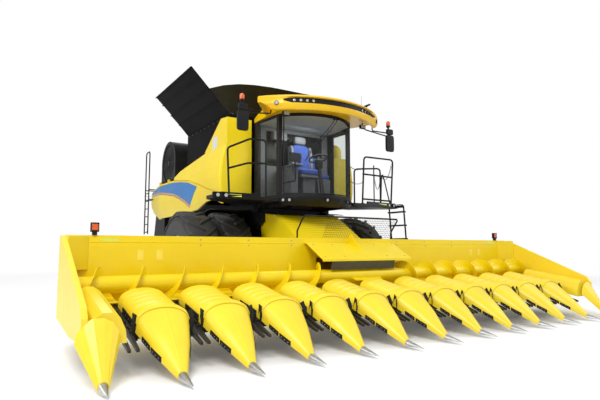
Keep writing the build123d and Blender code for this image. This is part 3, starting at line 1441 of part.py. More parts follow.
def flight(side, start_x, end_x):
    """A helical blade, of flat panels, from the tube's middle to its end."""
    rings = []
    for i in range(int((end_x - start_x) / flight_pitch * flight_steps) + 1):
        turn = 2 * pi * i / flight_steps
        x = start_x + flight_pitch * i / flight_steps
        ring = []
        for across, reach in (
            (-1, auger_tube_radius - 6), (-1, auger_flight_radius), (1, auger_flight_radius),
            (1, auger_tube_radius - 6)
        ):
            ring.append(
                (
                    side * (x + across * flight_thickness / 2), auger_y + reach * cos(turn),
                    auger_z - reach * sin(turn)
                )
            )
        rings.append(ring)
    return panelled(rings, split=True)


with BuildPart() as header_auger:
    end_x = header_half_width - 30
    rod((-end_x, auger_y, auger_z), (end_x, auger_y, auger_z), auger_tube_radius)
    for side in (right, left):
        rod(
            (side * (end_x - 60), auger_y, auger_z), (side * (end_x + 5), auger_y, auger_z),
            30 + seat_gap, mode=Mode.SUBTRACT
        )
        add(flight(side, 800, end_x - 60))
header_auger.part.label = "header_auger"
export_step(header_auger.part, "parts/header_auger.step")

# Centre hood over the feeder opening, its rubber flap and the guard above the sheet
with BuildPart() as centre_hood:
    prism_x(
        strip([(sheet_y - 9.2, 1400), (sheet_y - 90, 1392), (-3750, 1130), (-3752, 1100)], 14), -950, 1030
    )
centre_hood.part.label = "centre_hood"
export_step(centre_hood.part, "parts/centre_hood.step")
with BuildPart() as hood_flap:
    prism_x([(-3757, 1100 - seat_gap), (-3748, 1100 - seat_gap), (-3706, 960), (-3715, 960)], -760, 620)
hood_flap.part.label = "hood_flap"
export_step(hood_flap.part, "parts/hood_flap.step")
with BuildPart() as top_guard:
    rail(
        [
            (-1074, sheet_y + 10, sheet_top_z + 1.1), (-1074, sheet_y + 10, sheet_top_z + 120),
            (-1074, sheet_y - 200, 1857), (1074, sheet_y - 200, 1857),
            (1074, sheet_y + 10, sheet_top_z + 120), (1074, sheet_y + 10, sheet_top_z + 1.1)
        ],
        14, 50
    )
top_guard.part.label = "top_guard"
export_step(top_guard.part, "parts/top_guard.step")

# Beacons at the ends of the header
with BuildPart() as header_beacons:
    for side in (right, left):
        box(side * 4225, side * 4355, sheet_y - 40, sheet_y + 40, sheet_top_z + 1.1, sheet_top_z + 30)
        rod((side * 4290, sheet_y, sheet_top_z + 20), (side * 4290, sheet_y, sheet_top_z + 170), 48)
header_beacons.part.label = "header_beacons"
export_step(header_beacons.part, "parts/header_beacons.step")
print("header done")
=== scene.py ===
import json
from math import acos, asin, atan, cos, pi, radians, sin, sqrt, tan
import bpy
import bmesh
import numpy as np
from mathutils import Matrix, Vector
from mathutils.bvhtree import BVHTree


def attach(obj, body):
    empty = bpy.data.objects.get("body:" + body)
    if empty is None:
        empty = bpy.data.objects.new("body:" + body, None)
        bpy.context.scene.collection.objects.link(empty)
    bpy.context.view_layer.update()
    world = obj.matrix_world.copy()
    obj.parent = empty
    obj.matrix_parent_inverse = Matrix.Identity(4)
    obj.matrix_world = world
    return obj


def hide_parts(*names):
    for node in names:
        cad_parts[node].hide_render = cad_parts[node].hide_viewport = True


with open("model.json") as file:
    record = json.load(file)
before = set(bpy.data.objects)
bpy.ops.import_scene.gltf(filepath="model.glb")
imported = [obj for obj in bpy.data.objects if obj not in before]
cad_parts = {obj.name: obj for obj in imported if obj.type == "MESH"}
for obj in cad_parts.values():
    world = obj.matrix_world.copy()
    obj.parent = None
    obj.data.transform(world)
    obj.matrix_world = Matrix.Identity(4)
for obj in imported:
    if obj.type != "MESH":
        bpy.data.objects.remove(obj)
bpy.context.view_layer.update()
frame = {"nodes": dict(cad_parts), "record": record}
nodes = frame["nodes"]
print("frame loaded")

sides = {"right": -1, "left": 1}


# Shapes: a part is (points, faces), with points an array of n rows and faces a list of index arrays

def circle(steps):
    # angles evenly round a full turn
    return np.linspace(0, 2 * pi, steps, endpoint=False)


def surface(grid, closeRows=False, closeColumns=False, caps=False):
    # quads through an array of rows x columns x 3, with its first and last rows closed by flat ends if asked
    grid = np.asarray(grid, float)
    rows, columns = grid.shape[:2]
    i, j = np.meshgrid(np.arange(rows if closeRows else rows - 1),
                       np.arange(columns if closeColumns else columns - 1), indexing="ij")
    nextRow, nextColumn = (i + 1) % rows, (j + 1) % columns
    corners = [i * columns + j, i * columns + nextColumn, nextRow * columns + nextColumn, nextRow * columns + j]
    faces = [np.stack(corners, -1).reshape(-1, 4)]
    if caps:
        faces.append(np.arange(columns)[None, ::-1])
        faces.append(np.arange(columns)[None] + (rows - 1) * columns)
    return grid.reshape(-1, 3), faces


def bar(grid):
    # a closed body through rows of section points
    return surface(grid, closeColumns=True, caps=True)


def joined(*parts):
    # several parts as one, each with its face numbers moved on by the points before it
    points, faces, count = [], [], 0
    for partPoints, partFaces in parts:
        points.append(np.asarray(partPoints, float))
        faces += [np.asarray(face) + count for face in partFaces]
        count += len(partPoints)
    return np.concatenate(points), faces


def turned(part, matrices):
    # the part once for every 3 x 4 matrix, turned and then moved
    points, faces = part
    matrices = np.asarray(matrices, float)
    moved = np.einsum("kij,nj->kni", matrices[:, :, :3], points) + matrices[:, None, :, 3]
    steps = np.arange(len(matrices))[:, None, None] * len(points)
    return moved.reshape(-1, 3), [(face[None] + steps).reshape(-1, face.shape[1]) for face in faces]


def copied(part, offsets):
    # the part once at every offset
    return turned(part, [np.column_stack([np.eye(3), offset]) for offset in offsets])


def alongX(part, places):
    # the part once at every place along X
    return copied(part, [(x, 0, 0) for x in places])


def scaled(part, factors):
    # the part drawn out or mirrored by a factor for each axis
    return part[0] * factors, part[1]


def aboutX(angle):
    # a 3 x 3 turn about X
    return np.array([(1, 0, 0), (0, cos(angle), -sin(angle)), (0, sin(angle), cos(angle))])


def placement(at, way):
    # a 3 x 4 matrix that stands a part's Z along a way, with its X as near as can be to the axis that aboutFor gives
    z = np.asarray(way, float)
    z = z / np.linalg.norm(z)
    y = np.cross(z, aboutFor(way))
    y = y / np.linalg.norm(y)
    return np.column_stack([np.cross(y, z), y, z, at])


def aboutFor(way):
    # an axis that isn't in line with the way
    return (1, 0, 0) if abs(way[0]) < 0.9 * np.linalg.norm(way) else (0, 1, 0)


def lathe(profile, steps=64, axis=0, centre=(0, 0, 0), closed=True):
    # points at (along, radius) turned about an axis: along on the axis, radius times cosine and sine beside it
    profile = np.asarray(profile, float)
    grid = np.zeros((len(profile), steps, 3))
    grid[..., axis] = profile[:, :1]
    grid[..., (axis + 1) % 3] = profile[:, 1:] * np.cos(circle(steps))
    grid[..., (axis + 2) % 3] = profile[:, 1:] * np.sin(circle(steps))
    return surface(grid + centre, closeRows=closed, closeColumns=True)


def drum(start, end, radius, steps=24, bevel=0.0, endRadius=None):
    # a round bar or taper between two points with flat ends, its rims eased by the bevel
    start, end = np.asarray(start, float), np.asarray(end, float)
    length = np.linalg.norm(end - start)
    endRadius = radius if endRadius is None else endRadius
    rings = [(0, radius - bevel), (bevel, radius), (length - bevel, endRadius), (length, endRadius - bevel)]
    if bevel == 0:
        rings = [(0, radius), (length, endRadius)]
    grid = [[(r * cos(a), r * sin(a), h) for a in circle(steps)] for h, r in rings]
    return turned(bar(grid), [placement(start, end - start)])


def rounded(points, radius, steps=6):
    # a route whose corners are eased: p = (1 - s)^2 start + 2 s (1 - s) corner + s^2 end, with start and end at
    # radius / tan(half angle) from the corner
    points = np.asarray(points, float)
    route = [points[:1]]
    for before, corner, after in zip(points, points[1:], points[2:]):
        back, ahead = before - corner, after - corner
        backLength, aheadLength = np.linalg.norm(back), np.linalg.norm(ahead)
        back, ahead = back / backLength, ahead / aheadLength
        half = acos(float(np.clip(back @ ahead, -0.9999, 0.9999))) / 2
        reach = min(radius / tan(half), backLength * 0.48, aheadLength * 0.48)
        share = np.linspace(0, 1, steps)[:, None]
        start, end = corner + back * reach, corner + ahead * reach
        route.append((1 - share)**2 * start + 2 * share * (1 - share) * corner + share**2 * end)
    route.append(points[-1:])
    return np.concatenate(route)


def pipe(route, radius, steps=12, caps=True):
    # a circle carried along the route: ring point = centre + radius (cos a * u + sin a * w), u carried without twist
    route = np.asarray(route, float)
    ahead = np.gradient(route, axis=0)
    ahead /= np.linalg.norm(ahead, axis=1)[:, None]
    u = np.cross(ahead, aboutFor(route[-1] - route[0]))
    for i in range(1, len(u)):
        u[i] = u[i - 1] - ahead[i] * (u[i - 1] @ ahead[i])
        u[i] /= np.linalg.norm(u[i])
    u[0] /= np.linalg.norm(u[0])
    w = np.cross(ahead, u)
    turn = circle(steps)[None, :, None]
    radii = np.broadcast_to(np.asarray(radius, float).reshape(-1, 1, 1), (len(route), 1, 1))
    grid = route[:, None] + radii * (np.cos(turn) * u[:, None] + np.sin(turn) * w[:, None])
    return surface(grid, closeColumns=True, caps=caps)


cornerSigns = np.array([(x, y, z) for x in (-0.5, 0.5) for y in (-0.5, 0.5) for z in (-0.5, 0.5)])
cornerFaces = np.array([(0, 1, 3, 2), (4, 6, 7, 5), (0, 4, 5, 1), (2, 3, 7, 6), (0, 2, 6, 4), (1, 5, 7, 3)])


def brick(middle, size):
    # a box about its middle
    return np.asarray(middle, float) + cornerSigns * size, [cornerFaces]


def block(low, high):
    # a box between two corners
    low, high = np.asarray(low, float), np.asarray(high, float)
    return brick((low + high) / 2, high - low)


def plate(outline, low, high, axis=0):
    # a flat outline carried from low to high along an axis: outline points are the other two coordinates in order
    outline = np.asarray(outline, float)
    others = [i for i in range(3) if i != axis]
    grid = np.zeros((2, len(outline), 3))
    grid[..., others] = outline
    grid[0, :, axis], grid[1, :, axis] = low, high
    return bar(grid)


def boltHeads(places, out, radius=0.011):
    # hexagon heads at places, standing along the direction out: share of the height, share of the radius
    rings = [(0, 1.0), (0.75, 1.0), (1.0, 0.8)]
    grid = [[(radius * r * cos(a), radius * r * sin(a), h * radius * 0.75) for a in circle(6)] for h, r in rings]
    return turned(bar(grid), [placement(place, out) for place in places])


pieceCount = 0


def piece(name, part, material, body="combine", replaced=(), bevel=0.0, smooth=35, thick=0.0):
    # one mesh object at the origin that rides on its body, its faces turned outwards; edges sharper than the angle
    # smooth, in degrees, stay crisp
    global pieceCount
    points, faces = part
    mesh = bpy.data.meshes.new(name)
    mesh.from_pydata(points.tolist(), [], [row for face in faces for row in face.tolist()])
    shell = bmesh.new()
    shell.from_mesh(mesh)
    bmesh.ops.remove_doubles(shell, verts=shell.verts, dist=0.00002)
    bmesh.ops.dissolve_degenerate(shell, edges=shell.edges, dist=0.00001)
    bmesh.ops.recalc_face_normals(shell, faces=shell.faces)
    shell.to_mesh(mesh)
    shell.clear()
    mesh.polygons.foreach_set("use_smooth", np.ones(len(mesh.polygons), bool))
    shell.from_mesh(mesh)
    for edge in shell.edges:
        edge.smooth = len(edge.link_faces) == 2 and edge.calc_face_angle(0.0) < radians(smooth)
    shell.to_mesh(mesh)
    shell.free()
    made = bpy.data.objects.new(name, mesh)
    bpy.context.scene.collection.objects.link(made)
    mesh.materials.append(material)
    if thick:
        wall = made.modifiers.new("wall", "SOLIDIFY")
        wall.thickness, wall.offset = thick, -1
    if bevel:
        edge = made.modifiers.new("edge", "BEVEL")
        edge.width, edge.segments, edge.limit_method = bevel, 2, "ANGLE"
        edge.angle_limit = radians(32)
    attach(made, body)
    if replaced:
        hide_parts(*replaced)
    pieceCount += 1
    return made


# Materials

def linear(hexColour):
    # sRGB hex to linear light: c / 12.92 below 0.04045, else ((c + 0.055) / 1.055) ** 2.4
    values = [int(hexColour[i:i + 2], 16) / 255 for i in (1, 3, 5)]
    return [v / 12.92 if v <= 0.04045 else ((v + 0.055) / 1.055)**2.4 for v in values] + [1.0]


def addNode(tree, kind, sockets=None, **properties):
    # one node with its properties, and each of its sockets, by name or number, linked to a source or given a constant
    node = tree.nodes.new(kind)
    for key, value in properties.items():
        setattr(node, key, value)
    for key, value in (sockets or {}).items():
        if isinstance(value, bpy.types.NodeSocket):
            tree.links.new(value, node.inputs[key])
        else:
            node.inputs[key].default_value = value
    return node


def emptied(owner):
    # the owner's node tree with nothing in it
    owner.use_nodes = True
    owner.node_tree.nodes.clear()
    return owner.node_tree


def finish(name, colour, shade, roughness, patchMm, grainMm, bump, metal=0.0, dust=None, clear=0.0, ior=1.5):
    # a surface whose colour wanders to a shade in broad patches, and whose fine grain moves its gloss and its bump;
    # dust is a colour and the height in metres where it ends, clear is the weight of a clear coat
    material = bpy.data.materials.new(name)
    tree = emptied(material)
    place = addNode(tree, "ShaderNodeTexCoord").outputs["Object"]
    patches = addNode(tree, "ShaderNodeTexNoise", {"Vector": place, "Scale": 1000 / patchMm, "Detail": 4.0,
                                                   "Roughness": 0.6}).outputs["Fac"]
    grain = addNode(tree, "ShaderNodeTexNoise", {"Vector": place, "Scale": 1000 / grainMm, "Detail": 3.0,
                                                 "Roughness": 0.65}).outputs["Fac"]
    ramp = addNode(tree, "ShaderNodeMapRange", {"Value": patches, "From Min": 0.35, "From Max": 0.7})
    mixed = addNode(tree, "ShaderNodeMix", {"Factor": ramp.outputs["Result"], 6: linear(colour), 7: linear(shade)},
                    data_type="RGBA")
    if dust:
        height = addNode(tree, "ShaderNodeSeparateXYZ", {"Vector": place})
        low = addNode(tree, "ShaderNodeMapRange", {"Value": height.outputs["Z"], "From Min": dust[1], "From Max": 0.0})
        speck = addNode(tree, "ShaderNodeMath", {0: low.outputs["Result"], 1: patches}, operation="MULTIPLY")
        mixed = addNode(tree, "ShaderNodeMix", {"Factor": speck.outputs["Value"], 6: mixed.outputs[2],
                                                7: linear(dust[0])}, data_type="RGBA")
    gloss = addNode(tree, "ShaderNodeMapRange", {"Value": grain, "To Min": max(roughness - 0.06, 0.02),
                                                 "To Max": min(roughness + 0.06, 1.0)})
    raised = addNode(tree, "ShaderNodeBump", {"Height": grain, "Strength": bump, "Distance": grainMm / 2000})
    shader = addNode(tree, "ShaderNodeBsdfPrincipled", {
        "Base Color": mixed.outputs[2], "Roughness": gloss.outputs["Result"], "Normal": raised.outputs["Normal"],
        "Metallic": metal})
    if not metal:
        shader.inputs["IOR"].default_value = ior
    if clear:
        shader.inputs["Coat Weight"].default_value = clear
        shader.inputs["Coat Roughness"].default_value = 0.08
    addNode(tree, "ShaderNodeOutputMaterial", {"Surface": shader.outputs["BSDF"]})
    material.diffuse_color = linear(colour)
    return material


# name, colour, shade, roughness, size of the patches and of the grain in mm, bump
# Powder-coated sheet steel: even lemon yellow with a faint orange peel
sheetPaint = finish("lemon_powder_coated_steel", "#F5DA0C", "#EDD00A", 0.34, 900, 5, 0.04)
# Rotationally moulded polyethylene: warmer where it is thick, soft gloss, fine mould grain
snoutPlastic = finish("yellow_moulded_polyethylene", "#FBE134", "#F7D82E", 0.36, 500, 3, 0.07)
ribPlastic = finish("yellow_polyethylene_wear_pads", "#FBE65A", "#F8DE46", 0.42, 120, 3, 0.08)
# Vacuum-formed ABS roof shell: deeper golden yellow, glossy
roofShell = finish("golden_abs_roof_shell", "#F3C609", "#ECBB06", 0.28, 700, 6, 0.03)
# Moulded ABS in near black with a leathery mould grain
blackPlastic = finish("black_grained_abs", "#17171A", "#1F1F22", 0.5, 180, 2, 0.25, ior=1.3)
# Chassis enamel: black, satin, a little dusty low down
blackEnamel = finish("black_chassis_enamel", "#131315", "#1C1C1E", 0.42, 300, 6, 0.06, ior=1.3,
                     dust=("#4A463E", 1.2))
# Rubberised polyester sheet of the tank covers and of the extensions: near black, matt
charcoalSheet = finish("charcoal_rubberised_sheet", "#0C0C0D", "#121214", 0.55, 500, 3, 0.18, ior=1.14)
# canvas fronts: a near-black sheet whose olive-gold tint is painted sheen
oliveSheenSheet = finish("olive_black_rubberised_sheet", "#1C1A12", "#2A2718", 0.55, 420, 3, 0.18, ior=1.25)
# Vulcanised tyre rubber: matt black, dusty low down
tyreRubber = finish("vulcanised_tyre_rubber", "#2D2D2F", "#383735", 0.62, 220, 3, 0.3, dust=("#5A554B", 0.5))
# Sheet rubber of flaps and seals
flapRubber = finish("black_rubber_sheet", "#1B1B1B", "#262625", 0.66, 90, 2, 0.22, ior=1.3)
oliveRubber = finish("olive_grey_rubber_flap", "#4C4A3C", "#3E3D33", 0.62, 160, 3, 0.2)
# Wheel enamel: pale grey, slightly chalky
rimEnamel = finish("pale_grey_wheel_enamel", "#CFCFCB", "#BFBFBA", 0.42, 260, 5, 0.05)
# Bare metals: bright steel of the tips, worn steel of chains and blades, cast iron, hard chrome and zinc
brightSteel = finish("polished_steel", "#CFD1D4", "#B9BBBE", 0.34, 90, 2, 0.06, metal=1.0)
wornSteel = finish("worn_dark_steel", "#55565A", "#3A3B3E", 0.48, 120, 3, 0.15, metal=0.9)
castIron = finish("painted_cast_iron", "#3B3C3E", "#46474A", 0.6, 200, 8, 0.3)
chromeRod = finish("hard_chromed_steel", "#D6D8DA", "#C9CBCE", 0.12, 300, 2, 0.01, metal=1.0)
zincBolt = finish("zinc_plated_steel", "#B4B4AE", "#9C9C95", 0.38, 30, 1, 0.05, metal=1.0)
# Printed films, and sheeting that throws light back
blueFilm = finish("blue_vinyl_film", "#0F74BC", "#0C6AB0", 0.3, 800, 4, 0.02)
# the orange film also paints the shade of the gap between shoulder and side cover
orangeFilmAndGapShade = finish("orange_vinyl_film", "#E58A1C", "#DB7F14", 0.3, 800, 4, 0.02)
paleFilm = finish("pale_grey_label_film", "#D9DADB", "#CDCFD1", 0.4, 90, 3, 0.03)
reflectorFilm = finish("yellow_green_reflective_sheeting", "#E4EA5C", "#D6DE48", 0.35, 60, 3, 0.15)
# Lenses
orangeLens = finish("orange_polycarbonate_lens", "#E2600F", "#D25209", 0.2, 40, 4, 0.2, clear=0.6)
lampLens = finish("ribbed_lamp_glass", "#BFC4C8", "#AEB4BA", 0.12, 30, 5, 0.35, clear=0.8)
# Cab trim: woven cloth, vinyl, moulded trim and headlining felt
seatCloth = finish("blue_woven_seat_cloth", "#2C468E", "#253B78", 0.85, 60, 2, 0.5)
greyVinyl = finish("grey_vinyl_trim", "#66686C", "#5A5C60", 0.6, 120, 2, 0.25)
darkTrim = finish("dark_grey_cab_trim", "#4C4E52", "#585A5E", 0.62, 150, 2, 0.25)
headLining = finish("pale_grey_headlining_felt", "#C4C6C8", "#B6B8BB", 0.9, 120, 2, 0.4)

# Tinted laminated glass: lets most light through and shines on its face, a set share of glossy skin over clear
pane = {"tint": "#F8FAF9", "skin": (0.12, 0.123, 0.123, 1), "share": 0.06, "roughness": 0.03}
cabPane = bpy.data.materials.new("tinted_laminated_glass")
tree = emptied(cabPane)
place = addNode(tree, "ShaderNodeTexCoord").outputs["Object"]
film = addNode(tree, "ShaderNodeTexNoise", {"Vector": place, "Scale": 3.0, "Detail": 3.0})
gloss = addNode(tree, "ShaderNodeMapRange", {"Value": film.outputs["Fac"], "To Min": pane["roughness"],
                                             "To Max": pane["roughness"] + 0.05})
clearPart = addNode(tree, "ShaderNodeBsdfTransparent", {"Color": linear(pane["tint"])})
skin = addNode(tree, "ShaderNodeBsdfPrincipled", {"Roughness": gloss.outputs["Result"], "Base Color": pane["skin"]})
mixed = addNode(tree, "ShaderNodeMixShader", {0: pane["share"], 1: clearPart.outputs[0], 2: skin.outputs[0]})
addNode(tree, "ShaderNodeOutputMaterial", {"Surface": mixed.outputs[0]})
cabPane.diffuse_color = linear(pane["tint"])[:3] + [0.4]
print("materials ready")


# Header: snouts, hoods, tips and what carries them

header = {"rowPitch": 0.762, "snoutCount": 11, "coneBackY": -4.704, "coneFrontY": -5.4, "tipY": -5.698,
          "endTipY": -5.578, "endTipX": 4.54, "hoodBackY": -3.862, "hoodFrontY": -4.69}
snoutPlaces = [(i - (header["snoutCount"] - 1) / 2) * header["rowPitch"] for i in range(header["snoutCount"])]
rowPlaces = [(i - header["snoutCount"] / 2) * header["rowPitch"] for i in range(header["snoutCount"] + 1)]
# y, width, low z, top z, at the same stations as the solids
coneTable = [(-4.7, 0.62, 0.43, 0.69), (-5.05, 0.4, 0.235, 0.43), (-5.4, 0.104, 0.045, 0.118)]
hoodTable = [(-3.86, 0.6, 0.6, 0.83), (-4.7, 0.59, 0.43, 0.67)]
lipTable = [(-4.6, 0.6, 0.454, 0.702), (-4.7, 0.618, 0.431, 0.695), (-4.74, 0.598, 0.415, 0.668)]


def archPoints(count):
    # the arch: x = sin(turn) drawn out to the corners, z = cos(turn) to a power, turn from -90 to 90 degrees
    turn = np.linspace(-pi / 2, pi / 2, count)
    return np.sin(turn) * 0.995, np.maximum(np.cos(turn), 0)**0.62 * 0.985


def archRows(y, widths, lows, tops, count=33):
    # arch sections along Y: point = (width / 2 * arch x, y, low + (top - low) * arch z)
    across, up = archPoints(count)
    grid = np.empty((len(y), count, 3))
    grid[..., 0] = widths[:, None] / 2 * across
    grid[..., 1] = y[:, None]
    grid[..., 2] = lows[:, None] + (tops - lows)[:, None] * up
    return grid


def between(table, y):
    # values read off a table of rows (y, ...) at the given y, straight between its rows
    table = np.array(sorted(table))
    return [np.interp(y, table[:, 0], table[:, i]) for i in range(1, table.shape[1])]


def archSkin(table, y, wider, lowUp, topUp):
    # arch sections of a table, made wider or narrower, with their lows and tops raised or sunk
    width, low, top = between(table, y)
    return archRows(y, width + wider, low + lowUp, top + topUp)


def rolledShell(table, backY, startY, frontY, rows, sunk, rimIn, rimDown):
    # a closed shell just inside the solid's skin, its back edge rolled in by a small rim
    y = np.concatenate([[backY], np.linspace(startY, frontY, rows)])
    skin = archSkin(table, y, -0.004, 0.001, -sunk)
    rim = archSkin(table, y[:1], -rimIn, 0.001, -rimDown)
    return surface(np.concatenate([rim, skin]), caps=True)


def coneRidge():
    # a low crowned ridge that runs down the middle of the cone
    y = np.linspace(header["coneBackY"] - 0.05, header["coneFrontY"] + 0.05, 18)
    width, low, top = between(coneTable, y)
    across = np.linspace(-1, 1, 9)
    grid = np.empty((len(y), 9, 3))
    grid[..., 0] = across * 0.02 * np.sqrt(width[:, None] / 0.6)
    grid[..., 1] = y[:, None]
    grid[..., 2] = (top - 0.006)[:, None] + 0.004 * (1 - across**2)
    return surface(grid)


def coneLip():
    # the band round a cone's back end that laps over the hood behind, its edges turned in by 8 mm at the sides
    # and 11 mm on top
    y = np.array([-4.604, -4.612, -4.66, -4.7, -4.735])
    outer = archSkin(lipTable, y, 0.012, 0.004, 0.008)
    inner = archSkin(lipTable, y, -0.004, 0.003, -0.003)
    return surface(np.concatenate([inner[:1], outer, inner[-1:]]))


def tipShell(backY, width, tipY):
    # the bright point: sections shrink as the square root towards the end, so that it is blunt
    share = np.linspace(0, 1, 12)
    shrink = np.sqrt(1 - 0.985 * share**2.2)
    widths = (width - 0.004) * (1 - share) + 0.032 * share
    lows = 0.042 * (1 - share) + 0.032 * share + 0.001
    tops = 0.116 * (1 - share) + 0.052 * share - 0.002
    middle, half = (lows + tops) / 2, (tops - lows) / 2 * shrink
    y = backY + (tipY - backY) * share
    return surface(archRows(y, widths * shrink, middle - half, middle + half, 25), caps=True)


pads = {"count": 5, "firstY": -4.05, "lastY": -4.6, "length": 0.085, "rise": 0.0035, "columns": slice(6, 21)}


def hoodPads():
    # wear pads across the hood's back: lens-shaped patches a few millimetres proud, height rise * (1 - u^4) * (1 - v^4)
    made = []
    across, up = [values[pads["columns"]] for values in archPoints(33)]
    u, v = np.linspace(-1, 1, len(across)), np.linspace(-1, 1, 9)[:, None]
    for middleY in np.linspace(pads["firstY"], pads["lastY"], pads["count"]):
        grid = archSkin(hoodTable, middleY + v[:, 0] * pads["length"] / 2, -0.004, 0.001, -0.004)[:, pads["columns"]]
        grid[..., 1] = middleY + v * pads["length"] / 2 * np.sqrt(np.maximum(1 - u**2 * 0.75, 0))
        rise = pads["rise"] * (1 - v**4) * (1 - u**4) - 0.001
        out = np.stack([across, 0 * across, up * 0.6], -1)
        out /= np.linalg.norm(out, axis=1)[:, None]
        made.append(surface(grid + rise[..., None] * out))
    return joined(*made)


coneBack, hoodBack = header["coneBackY"], header["hoodBackY"]
coneFront = header["coneFrontY"] + 0.002
coneShell = rolledShell(coneTable, coneBack - 0.004, coneBack - 0.012, coneFront, 26, 0.003, 0.034, 0.02)
hoodShell = rolledShell(hoodTable, hoodBack - 0.001, hoodBack - 0.01, header["hoodFrontY"], 22, 0.004, 0.05, 0.03)
for name, part, material, replaced, smooth in (
        ("snout_cone_shells", coneShell, snoutPlastic, ["snout_cones"], 50),
        ("snout_cone_lips", coneLip(), snoutPlastic, [], 50),
        ("snout_cone_ridges", coneRidge(), snoutPlastic, [], 60),
        ("row_hood_shells", hoodShell, snoutPlastic, ["row_hoods"], 50),
        ("row_hood_wear_pads", hoodPads(), ribPlastic, [], 60)):
    piece(name, alongX(part, snoutPlaces), material, "header", replaced=replaced, smooth=smooth)
tips = alongX(tipShell(-5.4005, 0.102, header["tipY"]), snoutPlaces)
endTips = alongX(tipShell(-5.3805, 0.1, header["endTipY"]), [-header["endTipX"], header["endTipX"]])
piece("snout_tip_points", joined(tips, endTips), brightSteel, "header", replaced=["snout_tips"], smooth=50)
print("snouts made")

# Rubber strips with bolts along the lower edges of hoods and cones: from y, to y, table, inset, height, bolts
strips = {"thick": 0.006, "lift": 0.004, "boltRadius": 0.007,
          "runs": [(-4.12, -4.6, hoodTable, 0.0, 0.07, 4), (-4.86, -5.0, coneTable, -0.001, 0.05, 3),
                   (-5.02, -5.17, coneTable, -0.001, 0.05, 3)]}
stripParts, stripBolts = [], []
for x in snoutPlaces:
    for side in (-1, 1):
        for yStart, yEnd, table, inset, height, bolts in strips["runs"]:
            y = np.linspace(yStart, yEnd, 8)
            width, low, top = between(table, y)
            section = ((-0.004, 0), (strips["thick"], 0), (strips["thick"] * 0.6, height), (-0.012, height))
            grid = [[(x + side * (w / 2 - inset) + side * dx, at, z + strips["lift"] + dz) for dx, dz in section]
                    for w, at, z in zip(width, y, low)]
            stripParts.append(bar(grid))
            for y in np.linspace(yStart - 0.03, yEnd + 0.03, bolts):
                width, low, top = between(table, y)
                at = (x + side * (width / 2 + 0.0035), y, low + strips["lift"] + height * 0.45)
                stripBolts.append(boltHeads([at], (side, 0, 0.25), strips["boltRadius"]))
piece("row_edge_strips", joined(*stripParts), flapRubber, "header", bevel=0.0015)
piece("row_edge_strip_bolts", joined(*stripBolts), zincBolt, "header", smooth=20)

# A rubber ear where hood and cone meet: corners of its lower end, and how far each moves to its upper end
earLow = np.array([(0.245, -4.66, 0.47), (0.255, -4.69, 0.58), (0.27, -4.72, 0.5), (0.262, -4.705, 0.33)])
earMove = np.array([(0.062, 0.012, 0), (0.075, -0.03, 0.05), (0.072, -0.05, 0.02), (0.06, -0.035, -0.02)])
ear = surface(earLow + np.linspace(0, 1, 8)[:, None, None] * earMove)
flaps = joined(*[alongX(scaled(ear, (side, 1, 1)), snoutPlaces) for side in (-1, 1)])
piece("stalk_flaps", flaps, flapRubber, "header", smooth=40, thick=0.006)

# Gathering chains: link plates along the hood's edge with a lug on every fourth, on each side of every slot
chain = {"frontY": -4.63, "backY": -3.99, "x": 0.042, "linkPitch": 0.032, "linkHalf": np.array((0.009, 0.013, 0.007)),
         "lugReach": 0.03, "lugEvery": 4}
hoodSlope = (0.6 - 0.43) / (-3.86 + 4.7)


def chainRun(side):
    # the links and lugs of one side, leant with the slope of the hood's edge
    y = np.arange(chain["frontY"], chain["backY"], chain["linkPitch"])
    z = 0.6 + (y + 3.86) * hoodSlope + 0.012
    matrices = [np.column_stack([aboutX(atan(hoodSlope)), (side * chain["x"], a, b)]) for a, b in zip(y, z)]
    lug = plate([(-0.01, 0.008), (0.01, 0.008), (0.004, 0.022), (-0.006, 0.022)], 0, chain["lugReach"])
    return joined(turned(block(-chain["linkHalf"], chain["linkHalf"]), matrices),
                  turned(scaled(lug, (-side, 1, 1)), matrices[1::chain["lugEvery"]]))


chains = joined(*[alongX(chainRun(side), rowPlaces) for side in (-1, 1)])
piece("gathering_chain_links", chains, wornSteel, "header", replaced=["gathering_chains"], smooth=20)

# Auger: rolled tube and a thin helical flight of each hand, with paddles at the middle, where both hands meet
auger = {"y": -3.6, "z": 0.855, "tube": 0.11, "flight": 0.2285, "pitch": 0.56, "start": 0.8, "end": 4.55,
         "thick": 0.008, "tubeEnd": 4.608, "seams": (-3.05, -1.5, 0.0, 1.5, 3.05)}
paddle = {"half": 0.32, "root": 0.1, "reach": 0.2, "count": 4, "halfThick": 0.004, "firstTurn": 0.4}
augerAt = (0, auger["y"], auger["z"])


def augerFlight(side):
    # helicoid: x = start + pitch * turn / 2 pi, point = axis + reach * (cos turn, sin turn), reach from tube to rim
    turn = np.linspace(0, (auger["end"] - auger["start"]) / auger["pitch"] * 2 * pi, 300)
    reach = np.array([auger["tube"] - 0.004, 0.15, 0.19, auger["flight"]])
    grid = np.empty((len(turn), len(reach), 3))
    grid[..., 0] = side * (auger["start"] + auger["pitch"] * turn[:, None] / (2 * pi))
    grid[..., 1] = auger["y"] + np.cos(turn)[:, None] * reach
    grid[..., 2] = auger["z"] + np.sin(turn)[:, None] * reach
    return surface(grid)


